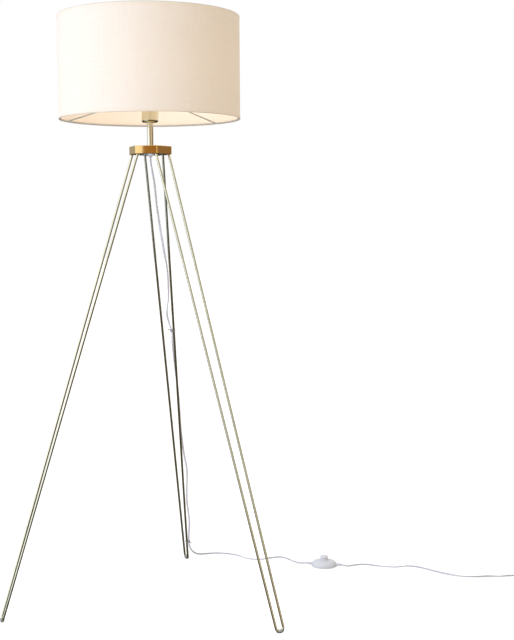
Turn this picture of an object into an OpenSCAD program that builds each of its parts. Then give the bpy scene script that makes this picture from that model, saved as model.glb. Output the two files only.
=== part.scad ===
// Tripod floor lamp: three hairpin legs of bent brass rod, a six-sided hub, a short stem with a screw
// lampholder and bulb, a drum shade on a wire carrier, and a flat cord with a foot switch and a plug.
// The origin is the tripod's axis at floor level. +Z is up and the rear leg points along +Y.

/* [Tripod] */
// Height of the hub's underside above the floor
hub_height = 1140; // [900:5:1400]
// Distance from the axis to where a leg's line meets the floor
foot_reach = 397; // [300:1:480]
// Radius of the circle that the six rod ends stand on, at the hub's underside
rod_circle_r = 46.4; // [44:0.1:46.4]
// Diameter of the leg rod
rod_d = 6; // [4:0.5:6]
// Radius of the rod's bend at the floor, to the rod's centre line
foot_bend_r = 9; // [7.5:0.5:14]
// Turn of the rear leg's floor bend about the leg
foot_turn_rear = 50; // [-60:1:60]
// Turn of the left leg's floor bend about the leg
foot_turn_left = 0; // [-60:1:60]
// Turn of the right leg's floor bend about the leg
foot_turn_right = 40; // [-60:1:60]
// Wall of the clear sleeve on each floor bend
sleeve_wall = 1.2; // [0.8:0.1:2]
// Depth that the floor has flattened into each sleeve
sleeve_flat = 0.5; // [0.2:0.05:0.5]

/* [Hub] */
// Width of the hub across its flats
hub_flats = 94; // [94:1:120]
// Height of the hub
hub_h = 20; // [18:0.5:36]
// Thickness of the hub's skirt
hub_skirt = 3; // [2:0.25:3]
// Thickness of the hub's top
hub_top = 4; // [3:0.25:6]
// Chamfer on the hub's upper and lower edges
hub_chamfer = 0.8; // [0.4:0.1:1.5]
// Thickness of each leg plate
plate_t = 5; // [4:0.25:6]
// Diameter of the hole that the three leg plates leave in the middle
plate_hole_d = 38.4; // [36:0.2:44]

/* [Stem] */
// Diameter of the stem tube
stem_d = 16; // [13:0.5:24]
// Length of the stem tube
stem_h = 50; // [20:1:150]
// Diameter of the threaded tube that holds the column together
thread_d = 10; // [9:0.5:10]
// Bore of the threaded tube
thread_bore = 7; // [5:0.25:7.5]

/* [Lampholder and bulb] */
// Diameter of the lampholder's cup
cup_d = 42; // [41:0.5:54]
// Height of the cup above its neck
cup_h = 27; // [24:0.5:40]
// Diameter of the lampholder's threaded sleeve
holder_sleeve_d = 39.6; // [38:0.2:39.8]
// Diameter of the bulb's screw cap
bulb_cap_d = 26.4; // [26:0.1:26.6]
// Radial gap between the bulb's cap and the screw shell
bulb_gap = 0.2; // [0.15:0.05:0.4]
// Diameter of the bulb's globe
bulb_d = 60; // [50:1:95]
// Travel of the bulb until its cap is out of the screw shell
bulb_travel = 24; // [20:1:26]

/* [Shade] */
// Diameter of the shade over its edge tape
shade_d = 450; // [300:5:600]
// Height of the shade over its edge tape
shade_h = 250; // [150:5:400]
// Height of the carrier's centre plate above the shade's lower edge
carrier_rise = 52.5; // [30:0.5:80]
// Thickness of the shade's fabric
fabric_t = 0.6; // [0.4:0.05:1.2]
// Thickness of the stiff lining behind the fabric
lining_t = 0.5; // [0.3:0.05:1]
// Thickness of the edge tape
tape_t = 0.5; // [0.3:0.05:0.8]
// Width of the edge tape on the outside of the shade
tape_w = 7; // [4:0.5:14]
// Diameter of the wire in the shade's rings and arms
wire_d = 4; // [3:0.25:5]
// Direction of the carrier's first arm, from +X towards +Y
arm_angle = 52; // [0:1:119]

/* [Foot switch] */
// Diameter of the foot switch's casing
switch_d = 70; // [66:1:90]
// Height of the casing
switch_h = 17; // [16:0.5:24]
// Wall of the casing
switch_wall = 1.8; // [1.4:0.1:2.2]
// Diameter of the foot button's shaft
button_d = 20; // [18:0.5:22]
// Height of the foot button's top above the floor
button_top = 29; // [27:0.5:38]
// Travel of the foot button
button_travel = 3; // [1.5:0.25:3]

/* [Cord and plug] */
// Width of the cord
cord_d = 5; // [4:0.1:5]
// Diameter of the coil at mid-turns
coil_d = 60; // [50:1:80]
// Distance between the plug's two pins
pin_pitch = 19; // [17:0.1:19]
// Diameter of the plug's pins
pin_d = 4; // [4:0.1:4.8]
// Length of the plug's pins outside its body
pin_h = 19; // [17:0.5:19]

/* [Hidden] */
$fn = 64;
eps = 0.01;
fit_gap = 0.05;         // between pieces that are pushed together
clear = 0.3;            // between pieces of different bodies
leg_angles = [90, 210, 330];
foot_turns = [foot_turn_rear, foot_turn_left, foot_turn_right];

// Legs
rod_r = rod_d/2;
rod_spread = 30;        // half the angle between the two ends of one rod, seen from above
rod_in = rod_circle_r*cos(rod_spread);
rod_side = rod_circle_r*sin(rod_spread);
leg_tilt = atan2(foot_reach - rod_in, hub_height);
sleeve_r = rod_r + fit_gap + sleeve_wall;
sleeve_arc = 100;       // degrees of the bend that the sleeve covers
rod_above_plate = 2;    // what stands out of the leg plate inside the hub

// Hub
hub_apothem = hub_flats/2;
hub_corner_r = hub_apothem/cos(30);
hub_corner_cut = 0.7;   // what is rounded off each upright corner
hub_in_apothem = hub_apothem - hub_skirt;
hub_z = hub_height;
hub_top_z = hub_z + hub_h;
hub_ceiling = hub_top_z - hub_top;
plate_z = hub_z + 1;
plate_top = plate_z + plate_t;
plate_apothem = hub_in_apothem - 0.2;
plate_gap = 1.5;        // degrees between neighbouring plates
screw_r = 2.5;
screw_circle_r = 32;
screw_spread = 22;
screw_boss_r = 5.5;
screw_head_r = 4.6;
screw_head_h = 2.6;
screw_gap = 0.2;        // between a screw's shank and the plate it passes
screw_end_gap = 2;      // between a screw's tip and the hub's ceiling
socket_r = 2;
socket_h = 1.4;
centre_boss_r = 12;
centre_boss_h = 5;
washer_h = 1;
nut_h = 4;
nut_r = 8.5;

// Column of stem and lampholder
thread_r = thread_d/2;
thread_hole_r = thread_r + fit_gap;
stem_z = hub_top_z;
cap_nut_z = stem_z + stem_h;
cap_nut_h = 4;
cap_nut_r = 6.5;
neck_z = cap_nut_z + cap_nut_h;
neck_h = 5;
neck_r = 8;
cup_z = neck_z + neck_h;
cup_r = cup_d/2;
cup_wall = 1.2;
cup_corner = 5;
holder_nut_z = cup_z + cup_wall + fit_gap;
thread_top = holder_nut_z + nut_h + 1.5;
thread_bottom = hub_ceiling - centre_boss_h - washer_h - nut_h - 1;
base_z = cup_z + 10;
base_h = 11;
base_r = cup_r - cup_wall - 1.5;
base_pocket_r = 3.6;    // pocket over the end of the threaded tube
base_pocket_h = 4;
terminal_x = 11;
terminal_screw_r = 1.5;
terminal_screw_h = 7;
terminal_head_r = 2.6;
terminal_head_h = 1.5;
core_r = 1.3;           // each of the two wires in the column
core_x = 1.7;
contact_z = base_z + base_h;
contact_h = 3.2;
contact_t = 0.6;
contact_w = 5;
contact_back = 8;       // how far the centre contact's foot runs back from the axis
contact_half = 3;       // half the length of its raised end
side_contact_w = 4;
side_contact_h = 9;
side_contact_foot = 9;  // distance from the axis at which the side contact's foot begins
bulb_z = contact_z + contact_h + clear;
tip_h = 1.4;
cap_z = bulb_z + tip_h;
cap_h = 23;
cap_r = bulb_cap_d/2;
shell_in_r = cap_r + bulb_gap;
shell_t = 0.5;
shell_h = bulb_travel;
holder_sleeve_r = holder_sleeve_d/2;
holder_sleeve_z = cup_z + cup_h;
holder_sleeve_wall = 2.2;
shoulder_h = 2.5;
shoulder_r = 24;
carrier_plate_t = 2;
shoulder_z = holder_sleeve_z + 29;
carrier_z = shoulder_z + shoulder_h;
ring_nut_h = 7;
ring_nut_r = 27.5;
holder_top = carrier_z + carrier_plate_t + ring_nut_h + 4;
bulb_housing_z = cap_z + cap_h;
bulb_neck_r = 14.2;
bulb_mouth_r = 16.2;
globe_r = bulb_d/2;
bulb_housing_top = holder_top + 14;
housing_top_r = globe_r*0.86;

// Shade
shade_r = shade_d/2;
shade_z = carrier_z + carrier_plate_t/2 - carrier_rise;
shade_top = shade_z + shade_h;
fabric_r = shade_r - tape_t;
lining_r = fabric_r - fabric_t;
lining_in_r = lining_r - lining_t;
wire_r = wire_d/2;
wire_gap = 0.2;         // between a wire ring and the lining
ring_r = lining_in_r - wire_r - wire_gap;
ring_lift = wire_r + tape_t + 0.2;

// Foot switch, in its own frame: the floor under its middle is the origin
switch_at = [402, 366, 0];
switch_turn = -5;
switch_r = switch_d/2;
base_plate_t = 2.5;
casing_edge = 6;        // height at which the casing's dome begins
button_r = button_d/2;
button_hole_r = button_r + clear;
dome_in_r = button_hole_r + 3;
button_z = 8;
button_flange_t = 2;
button_flange_r = button_r + 2.4;
button_wall = 1.5;
button_cap_r = button_r + 1.5;
button_cap_h = 5;
bridge_t = 0.8;
spring_r = 5.6;
spring_wire = 1;
spring_post_r = 4;
spring_post_h = 14;
button_top_t = 3;
button_edge = 1.4;
port_z = 6;
port_r = 4.2;
relief_in = 10;         // length of a strain relief inside the casing
relief_out = 14;        // and outside it
collar_r = port_r + 1;
collar_at = 7;          // from the casing's edge to the strain relief's collar
relief_tip_r = cord_d/2 + 1;
case_screw_r = 1.5;
case_screw_circle = 27;
case_screw_angles = [50, 130, 270];
case_post_r = 3.2;
case_head_r = 2.7;
case_head_h = 1;
case_sink_h = 1.2;      // depth of the recess for a casing screw's head
case_bite = 3;          // how far a casing screw reaches above the base plate
terminal_at = button_flange_r - 1.6;
terminal_post = [3, 6]; // the fixed contact's upright, width and length
terminal_tab = [6, 6, 1];
tab_screw_r = 1.8;
tab_screw_h = 1.6;

// Cord: hand-chosen points of its middle line
cord_r = cord_d/2;
bush_nose = 7;          // what the cable bush stands out below the leg plates
bush_nose_r = cord_r + 2.5;
bush_wall = 3;
bush_flange_t = 2;
bush_tip_z = plate_z - bush_nose;
lay_z = cord_r + 0.1;
cord_exit = [0, 0, bush_tip_z];
lamp_route = [
    cord_exit, [0, 2, 1120], [2, 7, 1102], [5, 17, 1070], [6, 38, 1013], [8, 68, 952],
    [10, 103, 890], [12, 124, 850], [9, 150, 775], [1, 166, 730], [5, 175, 702],
    [10.4, 180.3, 683], [9.6, 193, 643], [10.6, 217, 580], [13.6, 239, 515],
    [12.6, 276, 398], [17, 293, 330], [22, 308, 278], [18, 323, 225], [15.5, 335, 186],
    [17, 346, 150], [18, 356, 118], [14.5, 365, 86], [12.5, 372, 58], [15, 380, 36],
    [24, 396, 18], [38, 422, 7], [60, 448, lay_z], [97, 455, lay_z], [143, 438, lay_z],
    [180, 409, lay_z], [211, 404, lay_z], [245, 424, lay_z], [271, 432, lay_z],
    [294, 416, lay_z], [314, 393, lay_z], [334, 376, 3.4]
];
plug_route = [
    [469, 362, 3.4], [487, 376, lay_z], [512, 386, lay_z], [560, 375, lay_z], [602, 371, lay_z],
    [636, 384, lay_z], [668, 374, lay_z], [695, 354, lay_z], [729, 327, lay_z],
    [770, 307, lay_z], [810, 301, lay_z], [860, 309, lay_z], [912, 320, lay_z],
    [948, 328, lay_z], [980, 331.6, lay_z]
];
coil_at = [992, 364];
coil_rows = 2;
coil_turn_d = cord_d + 0.2;
tail_route = [
    [1024.6, 358, 7.8], [1025, 372, 7.5], [1025, 390, 6.8]
];

// Cable ties, which hold the cord to the rear leg's right-hand rod
tie_upper_z = 683;
tie_lower_z = 58;
cord_beside = 5.8;      // from the rod's middle to the cord's
tie_h = 4;
tie_wall = 0.8;
tie_lock = 4.5;
tie_tail = 14;

// Plug, in its own frame: pins along +Y from the origin, which is the body's front face
plug_at = [1025, 464];
plug_w = 35;
plug_t = 13.6;
plug_l = 34;
plug_z = plug_t/2;
plug_relief_h = 24;
plug_relief_r = 5.2;
pin_inside = 12;
pin_root_r = pin_d/2 - 0.5;
pin_tip = 1;            // chamfer on a pin's end

brass = [0.80, 0.62, 0.30];
steel = [0.70, 0.71, 0.72];
linen = [0.93, 0.90, 0.85];
white = [0.94, 0.94, 0.93];
clear_plastic = [0.80, 0.83, 0.84];
dark = [0.15, 0.15, 0.15];

// ---- Shared shapes ----

// A round bar between two points
module bar(from, to, r) {
    run = to - from;
    length = norm(run);
    translate(from)
        rotate([0, acos(run.z/length), atan2(run.y, run.x)])
            cylinder(r = r, h = length);
}

// A ring with a rectangular section
module ring(inner, outer, z, h) {
    translate([0, 0, z])
        rotate_extrude()
            translate([inner, 0])
                square([outer - inner, h]);
}

function unit(v) = v/norm(v);
function heading(path, i) =
    unit(path[min(i + 1, len(path) - 1)] - path[max(i - 1, 0)]);

// A closed tube along a path. The reference direction may not lie along the path.
module tube(path, r, sides, reference) {
    rings = len(path);
    points = [
        for (i = [0 : rings - 1])
            let (along = heading(path, i), across = unit(cross(along, reference)),
                 third = cross(along, across))
            for (k = [0 : sides - 1])
                path[i] + r*cos(360*k/sides)*across + r*sin(360*k/sides)*third
    ];
    walls = [
        for (i = [0 : rings - 2])
            for (k = [0 : sides - 1])
                let (a = i*sides + k, b = i*sides + (k + 1)%sides)
                for (face = [[a, b, b + sides], [a, b + sides, a + sides]])
                    face
    ];
    first = [for (k = [sides - 1 : -1 : 0]) k];
    last = [for (k = [0 : sides - 1]) (rings - 1)*sides + k];
    polyhedron(points, concat(walls, [first, last]));
}

// ---- Legs: each is drawn with its foot along +X, then turned to its place ----

// A direction in the leg's own frame, tipped outwards with the leg
function tipped(v) = [
    v.x*cos(leg_tilt) - v.z*sin(leg_tilt), v.y, v.x*sin(leg_tilt) + v.z*cos(leg_tilt)
];
function bend_side(turn) = tipped([sin(turn), cos(turn), 0]);
function bend_centre(turn) =
    let (drop = foot_bend_r*norm([cos(leg_tilt), bend_side(turn).z]),
         z = sleeve_r - sleeve_flat + drop)
    [rod_in + (hub_height - z)*tan(leg_tilt), 0, z];
function bend_end(turn, side) = bend_centre(turn) + side*foot_bend_r*bend_side(turn);
function rod_end(side) = [rod_in, side*rod_side, hub_z];
function along_rod(turn, side, z) =
    let (a = rod_end(side), b = bend_end(turn, side))
    a + (b - a)*(a.z - z)/(a.z - b.z);

module floor_bend(turn, arc) {
    translate(bend_centre(turn))
        rotate([0, -leg_tilt, 0])
            rotate([0, 0, 90 - turn])
                rotate([-90, 0, 0])
                    rotate([0, 0, 90 - arc/2])
                        rotate_extrude(angle = arc)
                            translate([foot_bend_r, 0])
                                children();
}

module leg(i) {
    turn = foot_turns[i];
    color(brass)
        rotate([0, 0, leg_angles[i]]) {
            floor_bend(turn, 180)
                circle(r = rod_r);
            for (side = [-1, 1]) {
                bar(along_rod(turn, side, plate_top + rod_above_plate), bend_end(turn, side), rod_r);
                translate(bend_end(turn, side))
                    sphere(r = rod_r + fit_gap);
            }
        }
}

module foot_sleeve(i) {
    color(clear_plastic)
        difference() {
            rotate([0, 0, leg_angles[i]])
                floor_bend(foot_turns[i], sleeve_arc)
                    difference() {
                        circle(r = sleeve_r);
                        circle(r = rod_r + fit_gap);
                    }
            translate([-hub_height, -hub_height, -sleeve_r])
                cube([2*hub_height, 2*hub_height, sleeve_r]);
        }
}

module leg_plate(i) {
    turn = foot_turns[i];
    color(steel)
        rotate([0, 0, leg_angles[i]])
            difference() {
                intersection() {
                    rotate([0, 0, plate_gap/2 - 60])
                        rotate_extrude(angle = 120 - plate_gap)
                            translate([plate_hole_d/2, plate_z])
                                square([hub_corner_r - plate_hole_d/2, plate_t]);
                    rotate([0, 0, 30])
                        hexagon(plate_apothem, plate_z - 1, plate_t + 2);
                }
                for (side = [-1, 1]) {
                    bar(along_rod(turn, side, plate_top + plate_t),
                        along_rod(turn, side, plate_z - plate_t), rod_r + fit_gap);
                    rotate([0, 0, side*screw_spread])
                        translate([screw_circle_r, 0, plate_z - 1])
                            cylinder(r = screw_r + screw_gap, h = plate_t + 2);
                }
            }
}

module at_plate_screws() {
    for (angle = leg_angles)
        for (side = [-1, 1])
            rotate([0, 0, angle + side*screw_spread])
                translate([screw_circle_r, 0, 0])
                    children();
}

module leg_plate_screws() {
    shank = hub_ceiling - screw_end_gap - plate_z;
    color(steel)
        at_plate_screws()
            difference() {
                union() {
                    translate([0, 0, plate_z - screw_head_h])
                        cylinder(r = screw_head_r, h = screw_head_h);
                    translate([0, 0, plate_z - eps])
                        cylinder(r = screw_r - fit_gap, h = shank + eps);
                }
                translate([0, 0, plate_z - screw_head_h - 1])
                    cylinder(r = socket_r, h = socket_h + 1, $fn = 6);
            }
}

// ---- Hub: its corners point the same ways as the six rod ends ----

// A six-sided prism with a corner along +X
module hexagon(apothem, z, h) {
    translate([0, 0, z])
        cylinder(r = apothem/cos(30), h = h, $fn = 6);
}

module hub_body() {
    color(brass)
        difference() {
            union() {
                difference() {
                    intersection() {
                        hexagon(hub_apothem, hub_z, hub_h);
                        translate([0, 0, hub_z])
                            cylinder(r = hub_corner_r - hub_corner_cut, h = hub_h);
                    }
                    hexagon(hub_in_apothem, hub_z - 1, hub_ceiling - hub_z + 1);
                    for (z = [hub_z, hub_top_z])
                        for (i = [0 : 5])
                            rotate([0, 0, 60*i + 30])
                                translate([hub_apothem, 0, z])
                                    rotate([0, 45, 0])
                                        cube([hub_chamfer*sqrt(2), hub_flats, hub_chamfer*sqrt(2)],
                                            center = true);
                }
                translate([0, 0, hub_ceiling - centre_boss_h])
                    cylinder(r = centre_boss_r, h = centre_boss_h + 1);
                at_plate_screws()
                    translate([0, 0, plate_top])
                        cylinder(r = screw_boss_r, h = hub_ceiling - plate_top + 1);
            }
            translate([0, 0, hub_ceiling - centre_boss_h - 1])
                cylinder(r = thread_hole_r, h = hub_h);
            at_plate_screws()
                translate([0, 0, plate_top - 1])
                    cylinder(r = screw_r, h = hub_ceiling - plate_top);
        }
}

module hub_washer() {
    color(steel)
        ring(thread_hole_r, centre_boss_r - 1, hub_ceiling - centre_boss_h - washer_h, washer_h);
}

module hex_nut(z) {
    color(steel)
        translate([0, 0, z])
            difference() {
                cylinder(r = nut_r, h = nut_h, $fn = 6);
                translate([0, 0, -1])
                    cylinder(r = thread_hole_r, h = nut_h + 2);
            }
}

module cable_bush() {
    bush_r = plate_hole_d/2 - 0.2;
    color(white)
        rotate_extrude()
            polygon([
                [cord_r, bush_tip_z], [bush_nose_r, bush_tip_z], [bush_nose_r + 1.5, plate_z],
                [bush_r, plate_z], [bush_r, plate_z + bush_flange_t],
                [cord_r + bush_wall, plate_z + bush_flange_t],
                [cord_r + bush_wall, plate_top - 2], [cord_r, plate_top - 2]
            ]);
}

// ---- Stem and lampholder ----

module threaded_tube() {
    color(steel)
        ring(thread_bore/2, thread_r, thread_bottom, thread_top - thread_bottom);
}

module stem_tube() {
    color(brass)
        ring(thread_hole_r, stem_d/2, stem_z, stem_h);
}

module stem_cap_nut() {
    color(brass)
        ring(thread_hole_r, cap_nut_r, cap_nut_z, cap_nut_h);
}

module lampholder_cup() {
    inner = cup_r - cup_wall;
    rim = cup_z + cup_h;
    color(brass)
        rotate_extrude()
            polygon(concat(
                [[thread_hole_r, neck_z], [neck_r, neck_z], [neck_r, cup_z]],
                [for (a = [-90 : 10 : 0])
                    [cup_r - cup_corner + cup_corner*cos(a), cup_z + cup_corner + cup_corner*sin(a)]],
                [[cup_r, rim], [inner, rim]],
                [for (a = [0 : -10 : -90])
                    [cup_r - cup_corner + (cup_corner - cup_wall)*cos(a),
                     cup_z + cup_corner + (cup_corner - cup_wall)*sin(a)]],
                [[thread_hole_r, cup_z + cup_wall]]
            ));
}

module lampholder_base() {
    color(white)
        difference() {
            translate([0, 0, base_z])
                cylinder(r = base_r, h = base_h);
            translate([0, 0, base_z - 1])
                cylinder(r = base_pocket_r, h = base_pocket_h + 1);
            for (side = [-1, 1])
                translate([side*terminal_x, 0, base_z - 1])
                    cylinder(r = terminal_screw_r + 0.1, h = terminal_screw_h + 1);
        }
}

module lampholder_terminal_screws() {
    color(steel)
        for (side = [-1, 1])
            translate([side*terminal_x, 0, base_z - terminal_head_h - 0.1]) {
                cylinder(r = terminal_screw_r, h = terminal_screw_h);
                cylinder(r = terminal_head_r, h = terminal_head_h);
            }
}

module lampholder_wires() {
    color(white)
        for (side = [-1, 1])
            translate([side*core_x, 0, plate_top])
                cylinder(r = core_r, h = base_z + base_pocket_h/2 - plate_top);
}

module lampholder_centre_contact() {
    color(brass)
        translate([0, 0, contact_z]) {
            translate([-contact_w/2, -contact_back, 0])
                cube([contact_w, contact_back + contact_half, contact_t]);
            translate([-contact_w/2, -contact_half, 0])
                cube([contact_w, contact_t, contact_h - contact_t]);
            translate([-contact_w/2, -contact_half, contact_h - contact_t])
                cube([contact_w, 2*contact_half, contact_t]);
        }
}

module lampholder_side_contact() {
    upright = shell_in_r + shell_t + 0.1;
    color(brass)
        translate([0, 0, contact_z]) {
            translate([side_contact_foot, -side_contact_w/2, 0])
                cube([upright + contact_t - side_contact_foot, side_contact_w, 0.5]);
            translate([upright, -side_contact_w/2, 0])
                cube([contact_t, side_contact_w, side_contact_h]);
        }
}

module lampholder_screw_shell() {
    color(brass)
        ring(shell_in_r, shell_in_r + shell_t, contact_z + 1, shell_h);
}

module lampholder_sleeve() {
    inner = holder_sleeve_r - holder_sleeve_wall;
    color(white)
        rotate_extrude()
            polygon([
                [inner, contact_z + 1], [cup_r - cup_wall - fit_gap, contact_z + 1],
                [cup_r - cup_wall - fit_gap, holder_sleeve_z],
                [cup_r, holder_sleeve_z], [cup_r, holder_sleeve_z + 2],
                [holder_sleeve_r, holder_sleeve_z + 2],
                [holder_sleeve_r, shoulder_z], [shoulder_r, shoulder_z], [shoulder_r, carrier_z],
                [holder_sleeve_r, carrier_z], [holder_sleeve_r, holder_top], [inner, holder_top]
            ]);
}

module shade_ring_nut() {
    z = carrier_z + carrier_plate_t;
    color(white)
        difference() {
            union() {
                ring(holder_sleeve_r + fit_gap, ring_nut_r, z, 2);
                ring(holder_sleeve_r + fit_gap, ring_nut_r - 3.5, z, ring_nut_h);
            }
            for (angle = [0 : 15 : 345])
                rotate([0, 0, angle])
                    translate([ring_nut_r, 0, z - 1])
                        cylinder(r = 1, h = 4);
        }
}

// ---- Bulb ----

module bulb_tip_contact() {
    color(steel)
        translate([0, 0, bulb_z])
            cylinder(r1 = 3, r2 = 4.5, h = tip_h);
}

module bulb_cap_insulator() {
    color(dark)
        translate([0, 0, cap_z])
            cylinder(r1 = 5.5, r2 = 11, h = 3);
}

module bulb_cap() {
    crest = 0.9;
    pitch = 3.62;
    turns = 5;
    start = cap_z + 3;
    color(steel)
        rotate_extrude()
            polygon(concat(
                [[0, start], [11, start]],
                [for (i = [0 : turns*2 - 1])
                    [cap_r - (i%2 == 0 ? crest : 0), start + 1 + i*pitch/2]],
                [[cap_r - crest, start + 1 + turns*pitch], [cap_r - crest, bulb_housing_z],
                 [0, bulb_housing_z]]
            ));
}

module bulb_housing() {
    color(white)
        rotate_extrude()
            polygon([
                [0, bulb_housing_z], [bulb_neck_r, bulb_housing_z], [bulb_mouth_r, holder_top + 1],
                [housing_top_r, bulb_housing_top], [0, bulb_housing_top]
            ]);
}

module bulb_globe() {
    sink = sqrt(globe_r*globe_r - housing_top_r*housing_top_r);
    color(linen)
        difference() {
            translate([0, 0, bulb_housing_top + sink])
                sphere(r = globe_r);
            translate([-bulb_d, -bulb_d, bulb_housing_top - bulb_d])
                cube([2*bulb_d, 2*bulb_d, bulb_d]);
        }
}

// ---- Shade ----

module shade_fabric() {
    color(linen)
        ring(lining_r, fabric_r, shade_z + tape_t, shade_h - 2*tape_t);
}

module shade_lining() {
    color(white)
        ring(lining_in_r, lining_r, shade_z + tape_t, shade_h - 2*tape_t);
}

// Edge tape: folded over the rim, with its outer leg towards the middle of the shade
module edge_tape(up) {
    color(linen)
        translate([0, 0, up > 0 ? shade_z : shade_top])
            mirror([0, 0, up > 0 ? 0 : 1])
                rotate_extrude()
                    polygon([
                        [lining_in_r, 0], [shade_r, 0], [shade_r, tape_w], [fabric_r, tape_w],
                        [fabric_r, tape_t], [lining_in_r, tape_t]
                    ]);
}

module wire_ring(z) {
    translate([0, 0, z])
        rotate_extrude()
            translate([ring_r, 0])
                circle(r = wire_r);
}

module shade_top_wire() {
    color(white)
        wire_ring(shade_top - ring_lift);
}

module shade_carrier() {
    plate_out = ring_nut_r + 3;
    color(white) {
        wire_ring(shade_z + ring_lift);
        ring(holder_sleeve_r + 0.4, plate_out, carrier_z, carrier_plate_t);
        for (i = [0 : 2])
            rotate([0, 0, arm_angle + 120*i])
                bar([plate_out - 1.2, 0, carrier_z + carrier_plate_t/2],
                    [ring_r, 0, shade_z + ring_lift], wire_r - 0.1);
    }
}

// ---- Cable ties ----

// A band round a rod and the cord beside it. The rod runs along Z, and the cord lies along +Y.
module tie_band() {
    translate([0, 0, -tie_h/2]) {
        linear_extrude(tie_h)
            difference() {
                tie_outline(tie_wall);
                tie_outline(0);
            }
        translate([-rod_r - tie_wall - tie_lock, cord_beside/2 - tie_lock/2, 0])
            cube([tie_lock, tie_lock, tie_h]);
        translate([-rod_r - tie_wall - eps, cord_beside/2 + tie_lock/2, 1])
            rotate([0, 0, 115])
                cube([tie_tail, tie_wall, tie_h - 2]);
    }
}

module tie_outline(grow) {
    r = rod_r + 0.1 + grow;
    translate([-r, 0])
        square([2*r, cord_beside]);
    circle(r = r);
    translate([0, cord_beside])
        circle(r = r);
}

// Puts its children on a rod of the rear leg, with Z along the rod
module at_rear_rod(side, z) {
    turn = foot_turn_rear;
    a = rod_end(side);
    b = bend_end(turn, side);
    run = b - a;
    rotate([0, 0, leg_angles[0]])
        translate(along_rod(turn, side, z))
            rotate([0, acos(run.z/norm(run)), atan2(run.y, run.x)])
                children();
}

module cable_tie_upper() {
    color(clear_plastic)
        at_rear_rod(-1, tie_upper_z)
            tie_band();
}

module cable_tie_lower() {
    color(clear_plastic)
        at_rear_rod(-1, tie_lower_z)
            rotate([0, 0, 180])
                tie_band();
}

// ---- Cord ----

module cord_lamp() {
    inlet = switch_point([-switch_r - relief_out, 0, port_z]);
    color(white)
        tube(concat(lamp_route, [inlet]), cord_r, 8, [0, 1, 0.3]);
}

module cord_plug() {
    outlet = switch_point([switch_r + relief_out, 0, port_z]);
    color(white)
        tube(concat([outlet], plug_route), cord_r, 8, [0, 0, 1]);
}

module cord_coil() {
    width = coil_rows*coil_turn_d;
    color(white)
        translate(coil_at)
            ring(coil_d/2 - width/2, coil_d/2 + width/2, 0.1, width);
}

module cord_tail() {
    color(white)
        tube(concat(tail_route, [[plug_at.x, plug_at.y - plug_l - plug_relief_h, plug_z]]),
            cord_r, 8, [0, 0, 1]);
}

// ---- Foot switch ----

function switch_point(p) = switch_at + [
    p.x*cos(switch_turn) - p.y*sin(switch_turn), p.x*sin(switch_turn) + p.y*cos(switch_turn), p.z
];

module at_switch() {
    translate(switch_at)
        rotate([0, 0, switch_turn])
            children();
}

// Puts its children on the axis of each cord port, with Z outwards
module at_ports() {
    for (side = [-1, 1])
        translate([0, 0, port_z])
            rotate([0, side*90, 0])
                children();
}

module at_case_screws() {
    for (angle = case_screw_angles)
        rotate([0, 0, angle])
            translate([case_screw_circle, 0, 0])
                children();
}

module switch_base() {
    color(white)
        at_switch()
            difference() {
                union() {
                    cylinder(r = switch_r - switch_wall - 0.2, h = base_plate_t);
                    cylinder(r = spring_post_r, h = spring_post_h);
                }
                at_case_screws() {
                    translate([0, 0, -1])
                        cylinder(r = case_screw_r + 0.2, h = base_plate_t + 2);
                    translate([0, 0, -1])
                        cylinder(r = case_head_r + clear, h = case_sink_h + 1);
                }
                at_ports()
                    translate([0, 0, switch_r - relief_in - 0.1])
                        cylinder(r = collar_r + fit_gap, h = relief_in);
            }
}

module switch_cover() {
    rise = switch_h - casing_edge;
    wide = switch_r - dome_in_r;
    post_share = (case_screw_circle - dome_in_r)/(wide - switch_wall);
    post_top = casing_edge + (rise - switch_wall)*sqrt(1 - post_share*post_share) + switch_wall/2;
    color(white)
        at_switch()
            difference() {
                union() {
                    rotate_extrude()
                        polygon(concat(
                            [[switch_r - switch_wall, 0.4], [switch_r, 0.4]],
                            [for (a = [0 : 9 : 90])
                                [dome_in_r + wide*cos(a), casing_edge + rise*sin(a)]],
                            [[button_hole_r, switch_h], [button_hole_r, switch_h - switch_wall]],
                            [for (a = [90 : -9 : 0])
                                [dome_in_r + (wide - switch_wall)*cos(a),
                                 casing_edge + (rise - switch_wall)*sin(a)]]
                        ));
                    at_case_screws()
                        translate([0, 0, base_plate_t])
                            cylinder(r = case_post_r, h = post_top - base_plate_t);
                }
                at_ports()
                    translate([0, 0, switch_r - collar_at])
                        cylinder(r = port_r + fit_gap, h = collar_at + 4);
                at_case_screws()
                    translate([0, 0, base_plate_t - 1])
                        cylinder(r = case_screw_r, h = casing_edge);
            }
}

module switch_button() {
    inner = button_r - button_wall;
    flare = button_top - button_cap_h;
    color(white)
        at_switch()
            rotate_extrude()
                polygon([
                    [inner, button_z], [button_flange_r, button_z],
                    [button_flange_r, button_z + button_flange_t], [button_r, button_z + button_flange_t],
                    [button_r, flare], [button_cap_r, flare + 2],
                    [button_cap_r, button_top - button_edge], [button_cap_r - button_edge, button_top],
                    [4, button_top - 0.8], [0, button_top - 0.9],
                    [0, button_top - button_top_t], [inner, button_top - button_top_t]
                ]);
}

module switch_spring() {
    turns = 5;
    steps = 12;
    low = base_plate_t + spring_wire/2;
    high = button_top - button_top_t - clear - spring_wire/2;
    path = [
        for (i = [0 : turns*steps])
            [spring_r*cos(360*i/steps), spring_r*sin(360*i/steps), low + (high - low)*i/(turns*steps)]
    ];
    color(steel)
        at_switch()
            tube(path, spring_wire/2, 6, [0, 0, 1]);
}

module switch_contact_bridge() {
    color(brass)
        at_switch()
            ring(button_r - button_wall, button_flange_r - 0.4, button_z - bridge_t, bridge_t);
}

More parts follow.
